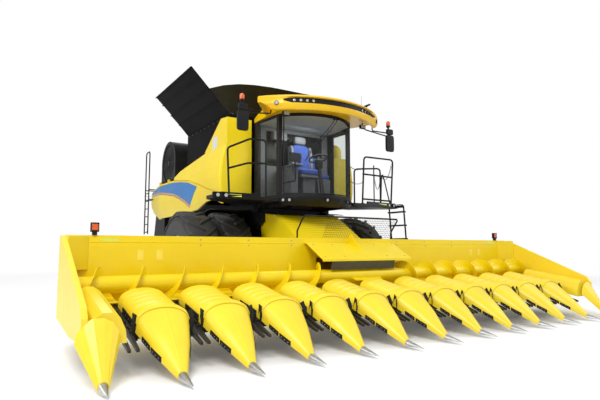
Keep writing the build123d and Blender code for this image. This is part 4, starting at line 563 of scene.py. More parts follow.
tubeProfile = [(-auger["tubeEnd"], 0.032), (-auger["tubeEnd"], auger["tube"]), (auger["tubeEnd"], auger["tube"]),
               (auger["tubeEnd"], 0.032)]
seamProfile = [(-0.004, -0.001), (-0.003, 0.003), (0.003, 0.003), (0.004, -0.001)]
seams = [lathe([(x + dx, auger["tube"] + dr) for dx, dr in seamProfile], 48, 0, augerAt) for x in auger["seams"]]
piece("header_auger_tube", joined(lathe(tubeProfile, 64, 0, augerAt), *seams), sheetPaint, "header_auger",
      replaced=["header_auger"])
piece("header_auger_flights", joined(augerFlight(-1), augerFlight(1)), sheetPaint, "header_auger", smooth=60,
      thick=auger["thick"])
paddles = []
for i in range(paddle["count"]):
    turn = pi / 2 * i + paddle["firstTurn"]
    out, flat = np.array([0, cos(turn), sin(turn)]), np.array([0, -sin(turn), cos(turn)])
    corners = [(-paddle["half"], paddle["root"]), (paddle["half"], paddle["root"]),
               (paddle["half"] - 0.03, paddle["reach"]), (-paddle["half"] + 0.03, paddle["reach"])]
    paddles.append(bar([[np.array([x, 0, 0]) + out * r + flat * h + augerAt for x, r in corners]
                        for h in (-paddle["halfThick"], paddle["halfThick"])]))
piece("header_auger_paddles", joined(*paddles), sheetPaint, "header_auger", bevel=0.002)
print("header rows made")


# Wheels: ribbed carcass, curved chevron bars, dished rims with bolts

frontWheel = {"radius": 1.025, "width": 0.62, "rim": 0.54, "lugs": 18, "y": -0.7, "z": 1.025, "places": (1.35, 2.075),
              "dish": 0.0, "hub": 0.2, "bore": 0.096, "hubHalf": 0.3615, "lugHeight": 0.046}
rearWheel = {"radius": 0.8, "width": 0.56, "rim": 0.4, "lugs": 16, "y": 3.05, "z": 0.8, "places": (1.6,),
             "dish": -0.06, "hub": 0.12, "bore": 0.061, "hubHalf": 0.139, "lugHeight": 0.046}


def crownRadius(across, wheel):
    # height of the carcass over its width: flat-topped crown that falls away as the 4th power towards the shoulders
    return wheel["radius"] - wheel["lugHeight"] - 0.045 * np.abs(across / (wheel["width"] / 2))**4


def tyreCarcass(wheel):
    # profile turned about X: bead, bulging wall as part of a superellipse, crown
    half, crown = wheel["width"] / 2, wheel["radius"] - wheel["lugHeight"]
    bead, wallTop = wheel["rim"] + 0.002, crown - 0.075
    middle, reach = (bead + wallTop) / 2, (wallTop - bead) / 2
    wall = [(half - 0.052 + 0.045 * cos(a)**0.8, middle + reach * sin(a)) for a in np.linspace(-pi / 2, pi / 2, 14)]
    side = wall + [(half - 0.016, wallTop + 0.022), (half - 0.03, crown - 0.03)]
    tread = [(x, float(crownRadius(x, wheel))) for x in np.linspace(half - 0.045, -half + 0.045, 15)]
    inside = [(-half + 0.06, bead + 0.03), (half - 0.06, bead + 0.03)]
    rings = [(half - 0.012, wallTop - 0.05), (half - 0.03, bead + 0.035)]
    ribs = [lathe([(s * (x - 0.006), r - 0.006), (s * (x + 0.004), r), (s * (x - 0.006), r + 0.006)], 72)
            for x, r in rings for s in (-1, 1)]
    return joined(lathe(side + tread + [(-x, r) for x, r in side[::-1]] + inside, 72), *ribs)


def tyreBars(wheel):
    # a bar's middle line runs from past the centre to the shoulder, its turn lagging as share ^ 1.15 of the skew;
    # across it the height rises over sloping flanks: root 0, flank 0.82, flat top 1, flank 0.82, root 0
    half = wheel["width"] / 2
    share = np.linspace(0, 1, 9)
    ending = np.clip((share - 0.86) / 0.14, 0, 1)
    x = -0.018 + (half - 0.012 + 0.018) * share
    lag = (0.285 / wheel["radius"]) * (share**1.15)
    base = crownRadius(np.minimum(np.abs(x), half - 0.045), wheel) - 0.012 - 0.055 * ending**1.5
    top = wheel["radius"] - 0.0015 - 0.02 * np.abs(x / half)**4 - 0.045 * ending**1.6
    halfWide = (0.03 + 0.012 * share) / wheel["radius"]
    columns = [(-1.45, 0), (-1.0, 0.82), (-0.82, 1), (0.82, 1), (1.0, 0.82), (1.45, 0)]
    grid = np.empty((9, len(columns), 3))
    for k, (wide, lift) in enumerate(columns):
        reach, angle = base + (top - base) * lift, lag + wide * halfWide
        grid[:, k] = np.stack([x, reach * np.sin(angle), reach * np.cos(angle)], -1)
    start = grid[:1].copy()
    start[0, :, 0] -= 0.02
    start[0, 1:-1] = start[0, [0, 0, -1, -1]]
    chevron = surface(np.concatenate([start, grid]))
    bars = []
    for side in (-1, 1):
        turns = [(i + (0.5 if side == 1 else 0)) * 2 * pi / wheel["lugs"] for i in range(wheel["lugs"])]
        matrices = [np.column_stack([aboutX(-turn), (0, 0, 0)]) for turn in turns]
        bars.append(turned(scaled(chevron, (side, 1, 1)), matrices))
    return joined(*bars)


def wheelRim(wheel):
    # barrel with a rolled flange and drop centre, conical disc, bored hub
    half = wheel["width"] / 2 - 0.07
    rim, dish, hub, bore, hubHalf = (wheel[k] for k in ("rim", "dish", "hub", "bore", "hubHalf"))
    edge = rim - 0.004
    return lathe([
        (-half - 0.008, edge), (-half + 0.01, edge), (-half + 0.05, edge - 0.018), (half - 0.05, edge - 0.018),
        (half - 0.01, edge), (half + 0.008, edge), (half + 0.009, edge - 0.016), (half - 0.02, edge - 0.03),
        (dish + 0.09, edge - 0.045), (dish + 0.03, edge - 0.075), (dish + 0.022, edge - 0.12),
        (dish + 0.016, hub + 0.03), (dish + 0.03, hub), (hubHalf, hub), (hubHalf, hub - 0.02), (hubHalf, bore),
        (-hubHalf, bore), (-hubHalf, hub),
        (dish - 0.03, hub), (dish - 0.014, hub + 0.03), (dish - 0.02, edge - 0.12), (dish - 0.03, edge - 0.075),
        (dish - 0.09, edge - 0.045), (-half + 0.02, edge - 0.03), (-half - 0.009, edge - 0.016),
    ], 72)


def wheelBolts(wheel, count, radius):
    # a circle of bolts on the outer side of the disc
    places = [(wheel["dish"] + 0.018, radius * cos(a), radius * sin(a)) for a in circle(count)]
    return boltHeads(places, (1, 0, 0), 0.018)


for sideName, side in sides.items():
    for wheel, body, tyreName, rimName in ((frontWheel, "front_wheels_", "front_tyres_", "front_rims_"),
                                           (rearWheel, "rear_wheel_", "rear_tyre_", "rear_rim_")):
        tyreName, rimName = tyreName + sideName, rimName + sideName
        bolts = joined(wheelBolts(wheel, 10, wheel["hub"] + 0.055), wheelBolts(wheel, 16, wheel["rim"] - 0.105))
        for name, part, material, replaced, smooth in (
                (tyreName + "_carcass", tyreCarcass(wheel), tyreRubber, [tyreName], 40),
                (tyreName + "_bars", tyreBars(wheel), tyreRubber, [], 28),
                (rimName + "_steel", wheelRim(wheel), rimEnamel, [rimName], 30),
                (rimName + "_bolts", bolts, zincBolt, [], 20)):
            made = copied(scaled(part, (side, 1, 1)), [(side * x, wheel["y"], wheel["z"]) for x in wheel["places"]])
            piece(name, made, material, body + sideName, replaced=replaced, smooth=smooth)
print("wheels made")


# Cab: roof shell, lamps, seat, wipers, mirrors and what stands on the platforms

roof = {"low": 3.9003, "tipX": 1.466, "tipY": -2.427, "noseY": -3.1, "bandEnd": 0.94, "bandTaper": 0.17,
        "recess": 0.044, "bowSteps": 97, "innerX": 1.03, "rearY": -1.315}


def roofBow(inset, count=roof["bowSteps"]):
    # the visor's front arc, drawn in: x = r sin a, y = nose + r (1 - cos a), r from the tip's place
    tipX, tipY, nose = roof["tipX"] - 1.6 * inset, roof["tipY"] + 0.5 * inset, roof["noseY"] + inset
    radius = (tipX**2 + (tipY - nose)**2) / (2 * (tipY - nose))
    turn = asin(tipX / radius) * np.linspace(-1, 1, count)
    return np.stack([radius * np.sin(turn), nose + radius * (1 - np.cos(turn))], -1)


def bandShare(x):
    # 1 along the lamp band, easing to 0 past its ends
    return np.clip((roof["bandEnd"] + roof["bandTaper"] - np.abs(x)) / roof["bandTaper"], 0, 1)**0.7


def bowsAt(insets):
    # the arc with its own inset at every point
    return np.array([roofBow(inset)[i] for i, inset in enumerate(insets)])


bowX = roofBow(0.0)[:, 0]
inBand = bandShare(bowX)
endShare = np.abs(np.linspace(-1, 1, roof["bowSteps"]))
lipDrop = 0.058 + 0.034 * endShare**2
# towards the wings' tips the underside rises: smoothstep from 0.76 of the width outwards
tipEase = np.clip((endShare - 0.76) / 0.24, 0, 1)
tipRise = -0.12 + 0.205 * tipEase**2 * (3 - 2 * tipEase)
# the visor's section from the lip's bottom round the front to its inner side:
# inset, height over the ceiling, share of the lip's drop, share of the band's recess
visorSection = [
    (0.078, 0.002, 1, 0), (0.052, -0.004, 1, 0), (0.034, 0.0, 1, 0), (0.022, 0.012, 0.9, 0), (0.014, 0.03, 0.6, 0),
    (0.006, 0.02, 0, 0), (0.001, 0.042, 0, 0), (0.002, 0.05, 0, 0), (0.006, 0.0525, 0, 0.85), (0.006, 0.06, 0, 1),
    (0.006, 0.16, 0, 1), (0.007, 0.1675, 0, 0.85), (0.005, 0.17, 0, 0), (0.005, 0.173, 0, 0), (0.007, 0.182, 0, 0),
    (0.018, 0.196, 0, 0), (0.036, 0.209, 0, 0), (0.062, 0.221, 0, 0), (0.1, 0.232, 0, 0), (0.13, 0.2375, 0, 0),
    (0.136, 0.228, 0, 0), (0.136, 0.06, 0, 0), (0.13, 0.012, 0, 0), (0.11, 0.001, 0, 0), (0.082, 0.0, 0, 0),
]
visorRows = []
for inset, height, follow, dent in visorSection:
    narrow = (1 - inBand) * (0.11 - height) * (0.85 if dent else 0.0)
    rise = np.maximum(height + narrow - lipDrop * follow, tipRise + 0.004 * inset)
    visorRows.append(np.column_stack([bowsAt(inset + roof["recess"] * dent * inBand), roof["low"] + rise]))
visor = bar(np.array(visorRows).transpose(1, 0, 2))
# crown between the wings: height = 0.236 at the visor's inner edge, rising by 0.024 and falling to the rear edge
front = roofBow(0.132)
frontX, frontY = front[np.abs(front[:, 0]) <= roof["innerX"]].T
across = np.linspace(-1, 1, 49)
crown = np.zeros((31, 49, 3))
for i, v in enumerate(np.linspace(0, 1, 31)):
    y = np.interp(across * roof["innerX"], frontX, frontY) * (1 - v) + roof["rearY"] * v
    dome = 0.236 + 0.024 * sin(pi * min(v * 1.4, 1.0)) * (1 - across**4) - 0.10 * v**6 - 0.05 * across**8
    crown[i] = np.column_stack([across * (roof["innerX"] - 0.08 * v), y, roof["low"] + dome])
underside = crown.copy()
underside[..., 2] = roof["low"] + 0.003
edges = [(grid[0], grid[-1], grid[:, 0], grid[:, -1]) for grid in (crown, underside)]
crownParts = [surface(crown), surface(underside)] + [surface(pair) for pair in zip(*edges)]
# rear strut of each wing: a rounded bar from the wing's tip to the cab's corner, its section (beside, height)
strutSection = [(-0.052, 0.03), (-0.04, 0.012), (0.04, 0.012), (0.052, 0.03), (0.052, 0.15), (0.03, 0.19),
                (-0.03, 0.19), (-0.052, 0.15)]
struts = []
for side in (-1, 1):
    start, end = np.array([side * 1.402, -2.425]), np.array([side * 0.99, -1.955])
    way = (end - start) / np.linalg.norm(end - start)
    beside = np.array([-way[1], way[0]])
    struts.append(bar([[(*(start + (end - start) * share + beside * u),
                         roof["low"] + h * (0.6 + 0.4 * share) + 0.075 * (1 - share)) for u, h in strutSection]
                       for share in np.linspace(0, 1, 9)]))
piece("cab_roof_shell", joined(visor, *crownParts, *struts), roofShell, replaced=["cab_roof"], smooth=42)

# Black lamp band: a strip 3 mm proud of its recess, pointed at both ends
band = {"height": 0.1105, "half": 0.056}
bandBows = bowsAt(0.006 + roof["recess"] * inBand - 0.003)
bandWidth = band["half"] * np.clip(bandShare(bowX * 0.985), 0.03, 1)
bandGrid = np.stack([np.column_stack([bandBows, roof["low"] + band["height"] + share * bandWidth])
                     for share in np.linspace(-1, 1, 7)], 1)
bandGrid = bandGrid[np.abs(bowX) < roof["bandEnd"] + roof["bandTaper"]]
piece("roof_lamp_band", surface(bandGrid), blackPlastic, thick=0.002)

# Round lamps: a bezel ring and a domed lens on every lamp of the CAD node
bezels, lenses = [], []


def addLamp(foot, way, radius, depth):
    # profiles (along, radius) of a bezel and of a lens dome that bulges by a tenth of its radius
    bezel = [(0, radius * 0.98), (depth, radius), (depth + 0.004, radius * 0.97), (depth + 0.002, radius * 0.84),
             (depth - 0.014, radius * 0.8), (depth - 0.016, radius * 0.5), (0, radius * 0.5)]
    lens = [(depth - 0.012, radius * 0.8)]
    lens += [(depth - 0.008 + 0.1 * radius * sin(a), radius * 0.8 * cos(a) + 1e-5) for a in np.linspace(0, pi / 2, 7)]
    way = np.asarray(way, float) / np.linalg.norm(way)
    bezels.append(turned(lathe(bezel, 32, 2), [placement(foot, way)]))
    lenses.append(turned(lathe(lens, 32, 2, closed=False), [placement(foot, way)]))


def onBeam(x):
    # y of the platforms' front beam, which runs from x 1.3 outwards and a little back
    return -2.26 + (x - 1.3) / 0.898 * 0.093


bandLamps, beamLamps, noseLamps = (0.58, 0.688, 0.795, 0.903), (1.96, 2.11), (-0.905, -0.81, -0.126, 0.5, 0.69)
coarseBow = roofBow(0.048, 17)
for x in [side * place for side in (-1, 1) for place in bandLamps]:
    i = int(np.searchsorted(coarseBow[:, 0], x)) - 1
    run = coarseBow[i + 1] - coarseBow[i]
    y = coarseBow[i, 1] + run[1] * (x - coarseBow[i, 0]) / run[0]
    addLamp((x, y + 0.004, roof["low"] + 0.111), (run[1], -run[0], 0), 0.034, 0.02)
for side in (-1, 1):
    wing = roofBow(0.0)[np.argmin(np.abs(bowX - side * 1.2))]  # the wing lamp stands in a round socket of the visor
    addLamp((wing[0], wing[1] + 0.03, roof["low"] + 0.048), (wing[0], wing[1] + 1.167, -0.1), 0.04, 0.03)
    for x in beamLamps:
        addLamp((side * x, onBeam(x), 2.254), (side * 0.093, -0.898, 0), 0.043, 0.034)
# lamps round the nose under the floor, whose front is the bow y = -2.22 - 0.53 (1 - u^2), x = 0.9 u
for u in noseLamps:
    addLamp((0.9 * u, -2.22 - 0.53 * (1 - u * u) + 0.03, 2.224), (1.06 * u, -0.9, -0.12), 0.034, 0.045)
# work lamps under the visor: a rounded housing with a wide lens, on a short stem
housings = []
for side in (-1, 1):
    at = np.array([side * 0.929, -2.5475, 3.819])
    lenses.append(brick(at + (0, -0.034, 0), (0.112, 0.012, 0.064)))
    housings += [brick(at, (0.13, 0.062, 0.082)), drum(at + (0, 0, 0.03), at + (0, 0, 0.081), 0.013, 12),
                 block(at + (-0.075, -0.01, -0.02), at + (0.075, 0.02, 0.01))]
piece("lamp_bezels", joined(*bezels), blackPlastic, smooth=40)
piece("lamp_lenses", joined(*lenses), lampLens, replaced=["roof_lamps"], smooth=40)
piece("work_lamp_housings", joined(*housings), blackPlastic, bevel=0.008)

# Reflectors on the platforms' front beams
strips = [surface([[(side * x, onBeam(x) - 0.0012, z) for x in (1.66, 1.91)] for z in (2.235, 2.28)])
          for side in (-1, 1)]
piece("platform_reflectors", joined(*strips), reflectorFilm, thick=0.001)


# Seat: cushions as crowned closed forms with sewn channels

def power(value, exponent):
    # a power that keeps the sign
    return np.sign(value) * np.abs(value)**exponent


def cushion(middle, half, exponent=0.45, crown=0.0, channels=(), rows=33, columns=64):
    # superellipsoid: x = a |cos u cos v| ** p, y = b |cos u sin v| ** p, z = c |sin u| ** p, each with its sign, dented
    # at each channel
    u, v = np.linspace(-pi / 2, pi / 2, rows)[:, None], circle(columns)[None]
    unit = np.stack([power(np.cos(u), exponent) * power(np.cos(v), exponent),
                     power(np.cos(u), exponent) * power(np.sin(v), exponent),
                     power(np.sin(u), exponent) * np.ones_like(v)], -1)
    unit[..., 2] += np.sign(unit[..., 2]) * crown * (1 - unit[..., 0]**2) * (1 - unit[..., 1]**2)
    for place in channels:
        unit[..., 2] -= np.sign(unit[..., 2]) * 0.14 * np.exp(-((unit[..., 0] - place) / 0.06)**2)
    return surface(np.asarray(middle) + unit * half, closeColumns=True)


def tipped(middle, half, degreesBack, crown, channels=()):
    # a cushion leant back about its middle, on the line along X
    points, faces = cushion(middle, half, crown=crown, channels=channels)
    return (points - middle) @ aboutX(radians(degreesBack)).T + middle, faces


seat = {"lean": 84, "mateLean": 86, "channels": (-0.5, 0.5), "cushion": (0, -1.81, 2.86), "back": (0, -1.6, 3.2),
        "head": (0, -1.575, 3.585), "bolster": (0.235, -1.615, 3.19), "mate": (0.5, -1.62, 2.83),
        "mateBack": (0.5, -1.46, 3.08)}
seatPad = cushion(seat["cushion"], (0.25, 0.235, 0.068), crown=0.25, channels=seat["channels"])
backPad = tipped(seat["back"], (0.225, 0.29, 0.06), seat["lean"], 0.25, seat["channels"])
headPad = tipped(seat["head"], (0.14, 0.085, 0.05), seat["lean"], 0.2)
sidePads = [tipped(np.array(seat["bolster"]) * (side, 1, 1), (0.035, 0.27, 0.075), seat["lean"], 0.1)
            for side in (-1, 1)]
mateSeat = joined(cushion(seat["mate"], (0.16, 0.17, 0.05), crown=0.2),
                  tipped(seat["mateBack"], (0.15, 0.2, 0.04), seat["mateLean"], 0.2))
piece("seat_cushion", seatPad, seatCloth, smooth=60)
piece("seat_backrest", backPad, seatCloth, smooth=60)
piece("seat_headrest", headPad, greyVinyl, smooth=60)
piece("seat_bolsters", joined(*sidePads), greyVinyl, smooth=60)
piece("instructor_seat", mateSeat, seatCloth, smooth=60)

# What carries the seats, the console with its armrest, and the pedal: opposite corners of their boxes
floorZ = 2.3305
base = [
    ((-0.19, -2.0, floorZ), (0.19, -1.6, 2.42)), ((-0.15, -1.95, 2.42), (0.15, -1.64, 2.74)),
    ((-0.24, -2.03, 2.74), (0.24, -1.57, 2.8)), ((0.34, -1.78, floorZ), (0.66, -1.44, 2.78)),
    ((-0.47, -2.0, floorZ), (-0.3, -1.5, 2.94)), ((-0.49, -2.16, 2.94), (-0.28, -1.5, 2.985)),
    ((-0.44, -2.5, floorZ), (-0.3, -2.2, 2.36)),
]
base = joined(*[block(*corners) for corners in base])
piece("seat_base_and_console", base, darkTrim, replaced=["cab_seat"], bevel=0.012)
# lever, steering column, screen with its arm, and the steering wheel with three spokes
controls = [
    drum((-0.37, -2.12, 2.98), (-0.36, -2.15, 3.07), 0.012, 12),
    cushion((-0.36, -2.155, 3.11), (0.03, 0.03, 0.055), 0.6),
    drum((0, -2.42, floorZ), (0, -2.42, 2.37), 0.09, 32, 0.006),
    drum((0, -2.42, 2.36), (0, -2.272, 3.05), 0.046, 24, endRadius=0.036),
    cushion((0, -2.29, 2.98), (0.075, 0.06, 0.11), 0.5), drum((0, -2.273, 3.07), (0, -2.262, 3.108), 0.045, 24, 0.006),
    block((-0.66, -2.28, 2.98), (-0.42, -2.25, 3.16)), drum((-0.52, -2.24, 2.62), (-0.54, -2.26, 3.0), 0.014, 12),
    drum((-0.6, -1.9, 2.6), (-0.52, -2.24, 2.62), 0.014, 12),
]
steering = {"at": (0, -2.267, 3.098), "axis": (0, 0.297, 0.955), "radius": 0.176, "rimHalf": 0.015}
rimRoute = np.stack([np.cos(circle(64)), np.sin(circle(64)), 0 * circle(64)], -1) * steering["radius"]
section = np.stack([0 * circle(12), 0 * circle(12), steering["rimHalf"] * np.sin(circle(12))], -1)
rimGrid = rimRoute[:, None] * (1 + 0.085 * np.cos(circle(12)))[None, :, None] + section[None]
wheelParts = [surface(rimGrid, closeRows=True, closeColumns=True)]
for a in [radians(degrees) for degrees in (90, 210, 330)]:
    ends = ((0.03, 0.014, 0.005), (0.17, 0.01, 0.004))  # reach, half width, half thickness
    wheelParts.append(bar([[(r * cos(a) + u * w * sin(a), r * sin(a) - u * w * cos(a), v * h)
                            for u, v in ((-1, -1), (1, -1), (1, 1), (-1, 1))] for r, w, h in ends]))
controls.append(turned(joined(*wheelParts), [placement(steering["at"], steering["axis"])]))
piece("steering_and_controls", joined(*controls), blackPlastic, smooth=45)
lining = [
    ((-0.86, -1.402, floorZ), (0.86, -1.392, 3.02)), ((-0.86, -1.402, 3.76), (0.86, -1.392, 3.858)),
    ((-0.86, -1.402, 3.02), (-0.71, -1.392, 3.76)), ((0.71, -1.402, 3.02), (0.86, -1.392, 3.76)),
    ((-0.62, -1.56, 3.56), (-0.3, -1.405, 3.72)),
]
lining = joined(*[block(*corners) for corners in lining])
piece("rear_wall_lining", lining, greyVinyl, bevel=0.004)
# ceiling: the cab's outline drawn in by the inset, its front the bow y = -2.2 - 0.47 (1 - u^2)
ceilingRows = []
for inset, z in ((0.03, 3.858), (0.1, 3.835), (0.2, 3.83)):
    bow = [(0.88 * u * (1 - inset / 0.88), -2.2 - 0.47 * (1 - u**2) + inset, z) for u in np.linspace(-1, 1, 25)]
    ceilingRows.append(bow + [(side * (0.95 - inset), -1.4 - inset * 0.2, z) for side in (1, -1)])
piece("ceiling_lining", bar(ceilingRows), headLining, smooth=50)
matOutline = [(-0.8, -2.18), (-0.4, -2.42), (0.0, -2.5), (0.4, -2.42), (0.8, -2.18), (0.86, -1.43), (-0.86, -1.43)]
piece("floor_mat", plate(matOutline, 2.3302, 2.3345, 2), darkTrim)
print("cab interior done")

# Wipers on the windscreen: two parallel arms and the blade, on pivots under the visor
windscreen = {"radius": 1.0095, "middleY": -1.6525, "halfWidth": 0.806, "lowZ": 2.345, "highZ": 3.85}


def onPane(x, z, out):
    # a point in front of the bowed windscreen
    return (x, windscreen["middleY"] - sqrt((windscreen["radius"] + out)**2 - x * x), z)


def paneRun(start, end, out, count, radius):
    # a thin bar along the windscreen between two points (x, z)
    start, end = np.array(start), np.array(end)
    return pipe([onPane(*(start + (end - start) * s), out) for s in np.linspace(0, 1, count)], radius, 8)


wipers = [drum((0.12, -2.64, 3.845), (0.12, -2.71, 3.835), 0.022, 20, 0.004),
          drum((0.19, -2.63, 3.845), (0.19, -2.70, 3.835), 0.016, 20, 0.004),
          paneRun((0.12, 3.835), (-0.41, 3.2), 0.045, 12, 0.007),
          paneRun((0.19, 3.835), (-0.36, 3.17), 0.045, 12, 0.007),
          paneRun((-0.2, 3.46), (-0.5, 2.96), 0.014, 12, 0.009), paneRun((-0.3, 3.36), (-0.46, 3.09), 0.03, 8, 0.006),
          pipe([onPane(-0.41, 3.2, 0.045), onPane(-0.385, 3.185, 0.047), onPane(-0.36, 3.17, 0.045)], 0.01, 8)]
piece("windscreen_wipers", joined(*wipers), blackPlastic, smooth=50)
# Rubber seals along the pane's edges
halfWidth, lowZ, highZ = windscreen["halfWidth"], windscreen["lowZ"], windscreen["highZ"]
seals = [paneRun((-halfWidth + 0.001, z), (halfWidth - 0.001, z), 0.006, 41, 0.011) for z in (lowZ, highZ)]
seals += [paneRun((side * halfWidth, lowZ), (side * halfWidth, highZ), 0.006, 5, 0.012) for side in (-1, 1)]
piece("pane_seals", joined(*seals), flapRubber, smooth=50)

# Mirrors: bent arms, posts and rounded heads with a silvered face to the rear, and beacons on the posts
mirror = {"x": 1.774, "y": -2.421, "lowZ": 3.42, "topZ": 3.95, "arms": ((1.356, 3.82), (1.146, 3.74)), "armY": -2.367}
beacon = {"lowZ": 3.985, "radius": 0.045}
# height over the beacon's foot, radius
beaconDome = [(0, 0.0005), (0, 0.042), (0.015, 0.0445), (0.065, 0.0445), (0.081, 0.042), (0.095, 0.033), (0.103, 0.018),
              (0.1045, 0.0005)]


def roundedHead(x, halfWidth, yRange, zRange, exponent=0.32):
    # a mirror's head or face between its limits
    low, high = np.array((x - halfWidth, yRange[0], zRange[0])), np.array((x + halfWidth, yRange[1], zRange[1]))
    return cushion((low + high) / 2, (high - low) / 2, exponent, rows=25, columns=48)


mirrorParts, mirrorFaces, beaconBases, beaconLenses = [], [], [], []
for side in (-1, 1):
    x, y = side * mirror["x"], mirror["y"]
    for footX, low in mirror["arms"]:
        route = [(side * footX, mirror["armY"], 3.8995), (side * footX, mirror["armY"], 3.83), (x, y, low)]
        mirrorParts.append(pipe(rounded(route, 0.06, 8), 0.013))
    mirrorParts += [drum((x, y, mirror["lowZ"]), (x, y, mirror["topZ"]), 0.02, 20, 0.004),
                    roundedHead(x, 0.113, (-2.488, -2.434), (3.4, 3.765)),
                    roundedHead(x, 0.093, (-2.487, -2.434), (3.775, 3.9), 0.4),
                    drum((x, -2.457, 3.75), (x, -2.457, 3.79), 0.02, 16)]
    mirrorParts += [block((x - 0.03, -2.46, z - 0.02), (x + 0.03, -2.4, z + 0.02)) for z in (3.455, 3.88)]
    mirrorFaces.append(roundedHead(x, 0.098, (-2.437, -2.431), (3.42, 3.745), 0.25))
    beaconBases.append(drum((x, y, mirror["topZ"] + 0.0003), (x, y, beacon["lowZ"]), beacon["radius"], 32, 0.006))
    beaconLenses.append(lathe(beaconDome, 32, 2, (x, y, beacon["lowZ"]), closed=False))
piece("mirror_arms_and_heads", joined(*mirrorParts), blackPlastic, replaced=["mirrors"], smooth=50)
piece("mirror_faces", joined(*mirrorFaces), chromeRod, smooth=50)
piece("beacon_bases", joined(*beaconBases), blackPlastic, smooth=40)
piece("beacon_lenses", joined(*beaconLenses), orangeLens, replaced=["beacons"], smooth=40)
antenna = joined(cushion((0.86, -2.62, 4.148), (0.035, 0.05, 0.014), 0.6),
                 pipe([(0.86, -2.62, 4.15), (0.855, -2.61, 4.3), (0.87, -2.6, 4.45)], (0.004, 0.003, 0.002), 8))
piece("radio_antenna", antenna, blackPlastic, smooth=50)
print("cab outside done")


# Body and header dressing: films, plates, meshes, rails, chains and brackets

skinTrees = {}


def laidOn(name, grid, way, lift=0.003):
    # points thrown along a way onto a solid's skin, then lifted off it; a point that misses stays where it is
    if name not in skinTrees:
        solid = nodes[name]
        corners = [solid.matrix_world @ vertex.co for vertex in solid.data.vertices]
        skinTrees[name] = BVHTree.FromPolygons(corners, [list(face.vertices) for face in solid.data.polygons])
    way = Vector(way).normalized()
    placed = np.array(grid, float)
    flat = placed.reshape(-1, 3)
    for i, point in enumerate(flat):
        struck = skinTrees[name].ray_cast(Vector(point) - way * 0.6, way)
        if struck[0] is not None:
            flat[i] = struck[0] - way * lift
    return placed


films = {"thick": 0.0006, "labelThick": 0.0012, "coverEnd": 4.17, "shoulderStart": 4.2}


def ribbon(low, high, x, count=60):
    # a grid between a low and a high line of (y, z) corners, read straight between them; what starts on a side cover
    # stops at the cover's end
    rows = []
    for share in np.linspace(0, 1, count):
        ends = []
        for line in (np.array(low), np.array(high)):
            y = line[0, 0] + (line[-1, 0] - line[0, 0]) * share
            endY = min(y, films["coverEnd"]) if y < films["shoulderStart"] else y
            ends.append(np.array([endY, np.interp(y, line[:, 0], line[:, 1])]))
        rows.append([(x, *(ends[0] * (1 - v) + ends[1] * v)) for v in np.linspace(0, 1, 13)])
    return np.array(rows)


def shifted(line, along, up):
    # a line of (y, z) moved along Y and up
    return [(y + along, z + up) for y, z in line]


# lines of (y, z) on the side covers: the blue band's edges, and ahead of it an orange line of painted gap shade
bandTop = [(-0.05, 2.655), (0.5, 2.808), (1.0, 2.874), (1.56, 2.93), (2.3, 2.952), (3.0, 2.962), (4.17, 2.958)]
bandLow = [(0.489, 2.279), (0.6, 2.335), (0.793, 2.424), (1.15, 2.545), (1.526, 2.641), (2.325, 2.747), (3.1, 2.812),
           (4.17, 2.868)]
gapShadeLow = [(-0.82, 2.488), (-0.2, 2.656), (0.5, 2.826), (1.56, 2.951)]
blueLines = [(bandLow, bandTop), (shifted(bandLow, 0.03, -0.052), shifted(bandLow, 0.02, -0.038))]
# orange lines: a stripe under the band, and above it painted shade of the gap between shoulder and side cover
orangeStripeAndGapShadeLines = [(shifted(bandLow, 0.015, -0.034), shifted(bandLow, 0.004, -0.008)), (gapShadeLow, shifted(gapShadeLow, 0, 0.008))]
for name, side in sides.items():
    body, x, inwards = "side_cover_" + name, side * 1.72, (-side, 0, 0)
    for word, lines, film in (("side_band_", blueLines, blueFilm), ("side_stripes_", orangeStripeAndGapShadeLines, orangeFilmAndGapShade)):
        strips = [surface(laidOn(body, ribbon(low, high, x), inwards)) for low, high in lines]
        piece(word + name, joined(*strips), film, body, smooth=70, thick=films["thick"])
    corner = ribbon([(4.215, 2.872), (4.62, 2.9)], [(4.215, 2.958), (4.62, 2.93)], x, 20)
    piece("corner_band_" + name, surface(laidOn("shoulder_panels", corner, inwards)), blueFilm, smooth=70,
          thick=films["thick"])
plates = []
for side in (-1, 1):
    sheet = ribbon([(-0.8, 3.37), (-0.55, 3.36)], [(-0.8, 3.66), (-0.55, 3.65)], side * 1.6, 4)
    plates.append(surface(laidOn("shrouds", sheet, (-side, 0, 0), 0.002)))
piece("shroud_plates", joined(*plates), paleFilm, thick=films["labelThick"])

# Front corner of the body: a rounded sheet that runs across the front and turns into the side panel
cornerSkin = {"inner": (1.0, 1.25), "frontY": -1.302, "turnX": 0.07, "turnY": 0.0618, "topZ": 3.384, "lowZ": 2.43}
turn = np.linspace(0, pi / 2, 9)
cornerRows = []
for z in np.concatenate([[cornerSkin["topZ"]], np.linspace(3.38, cornerSkin["lowZ"], 24)]):
    # 1.5 mm inside the side panel's half width: 1.7 - 0.105 u^2, u rising by 2 over its height; the top row is folded
    # back
    widest = 1.7 - 0.105 * (2 * (z - 2.08) / 1.34 - 1)**2 - 0.0015
    x = np.concatenate([cornerSkin["inner"], widest + cornerSkin["turnX"] * (np.sin(turn) - 1)])
    y = np.concatenate([[cornerSkin["frontY"]] * 2, cornerSkin["frontY"] + cornerSkin["turnY"] * (1 - np.cos(turn))])
    cornerRows.append(np.column_stack([x, y + (0.0095 if z == cornerSkin["topZ"] else 0.0), 0 * x + z]))
cornerSheet = surface(cornerRows)
piece("front_corner_skins", joined(*[scaled(cornerSheet, (side, 1, 1)) for side in (-1, 1)]), sheetPaint, smooth=40,
      thick=0.004)

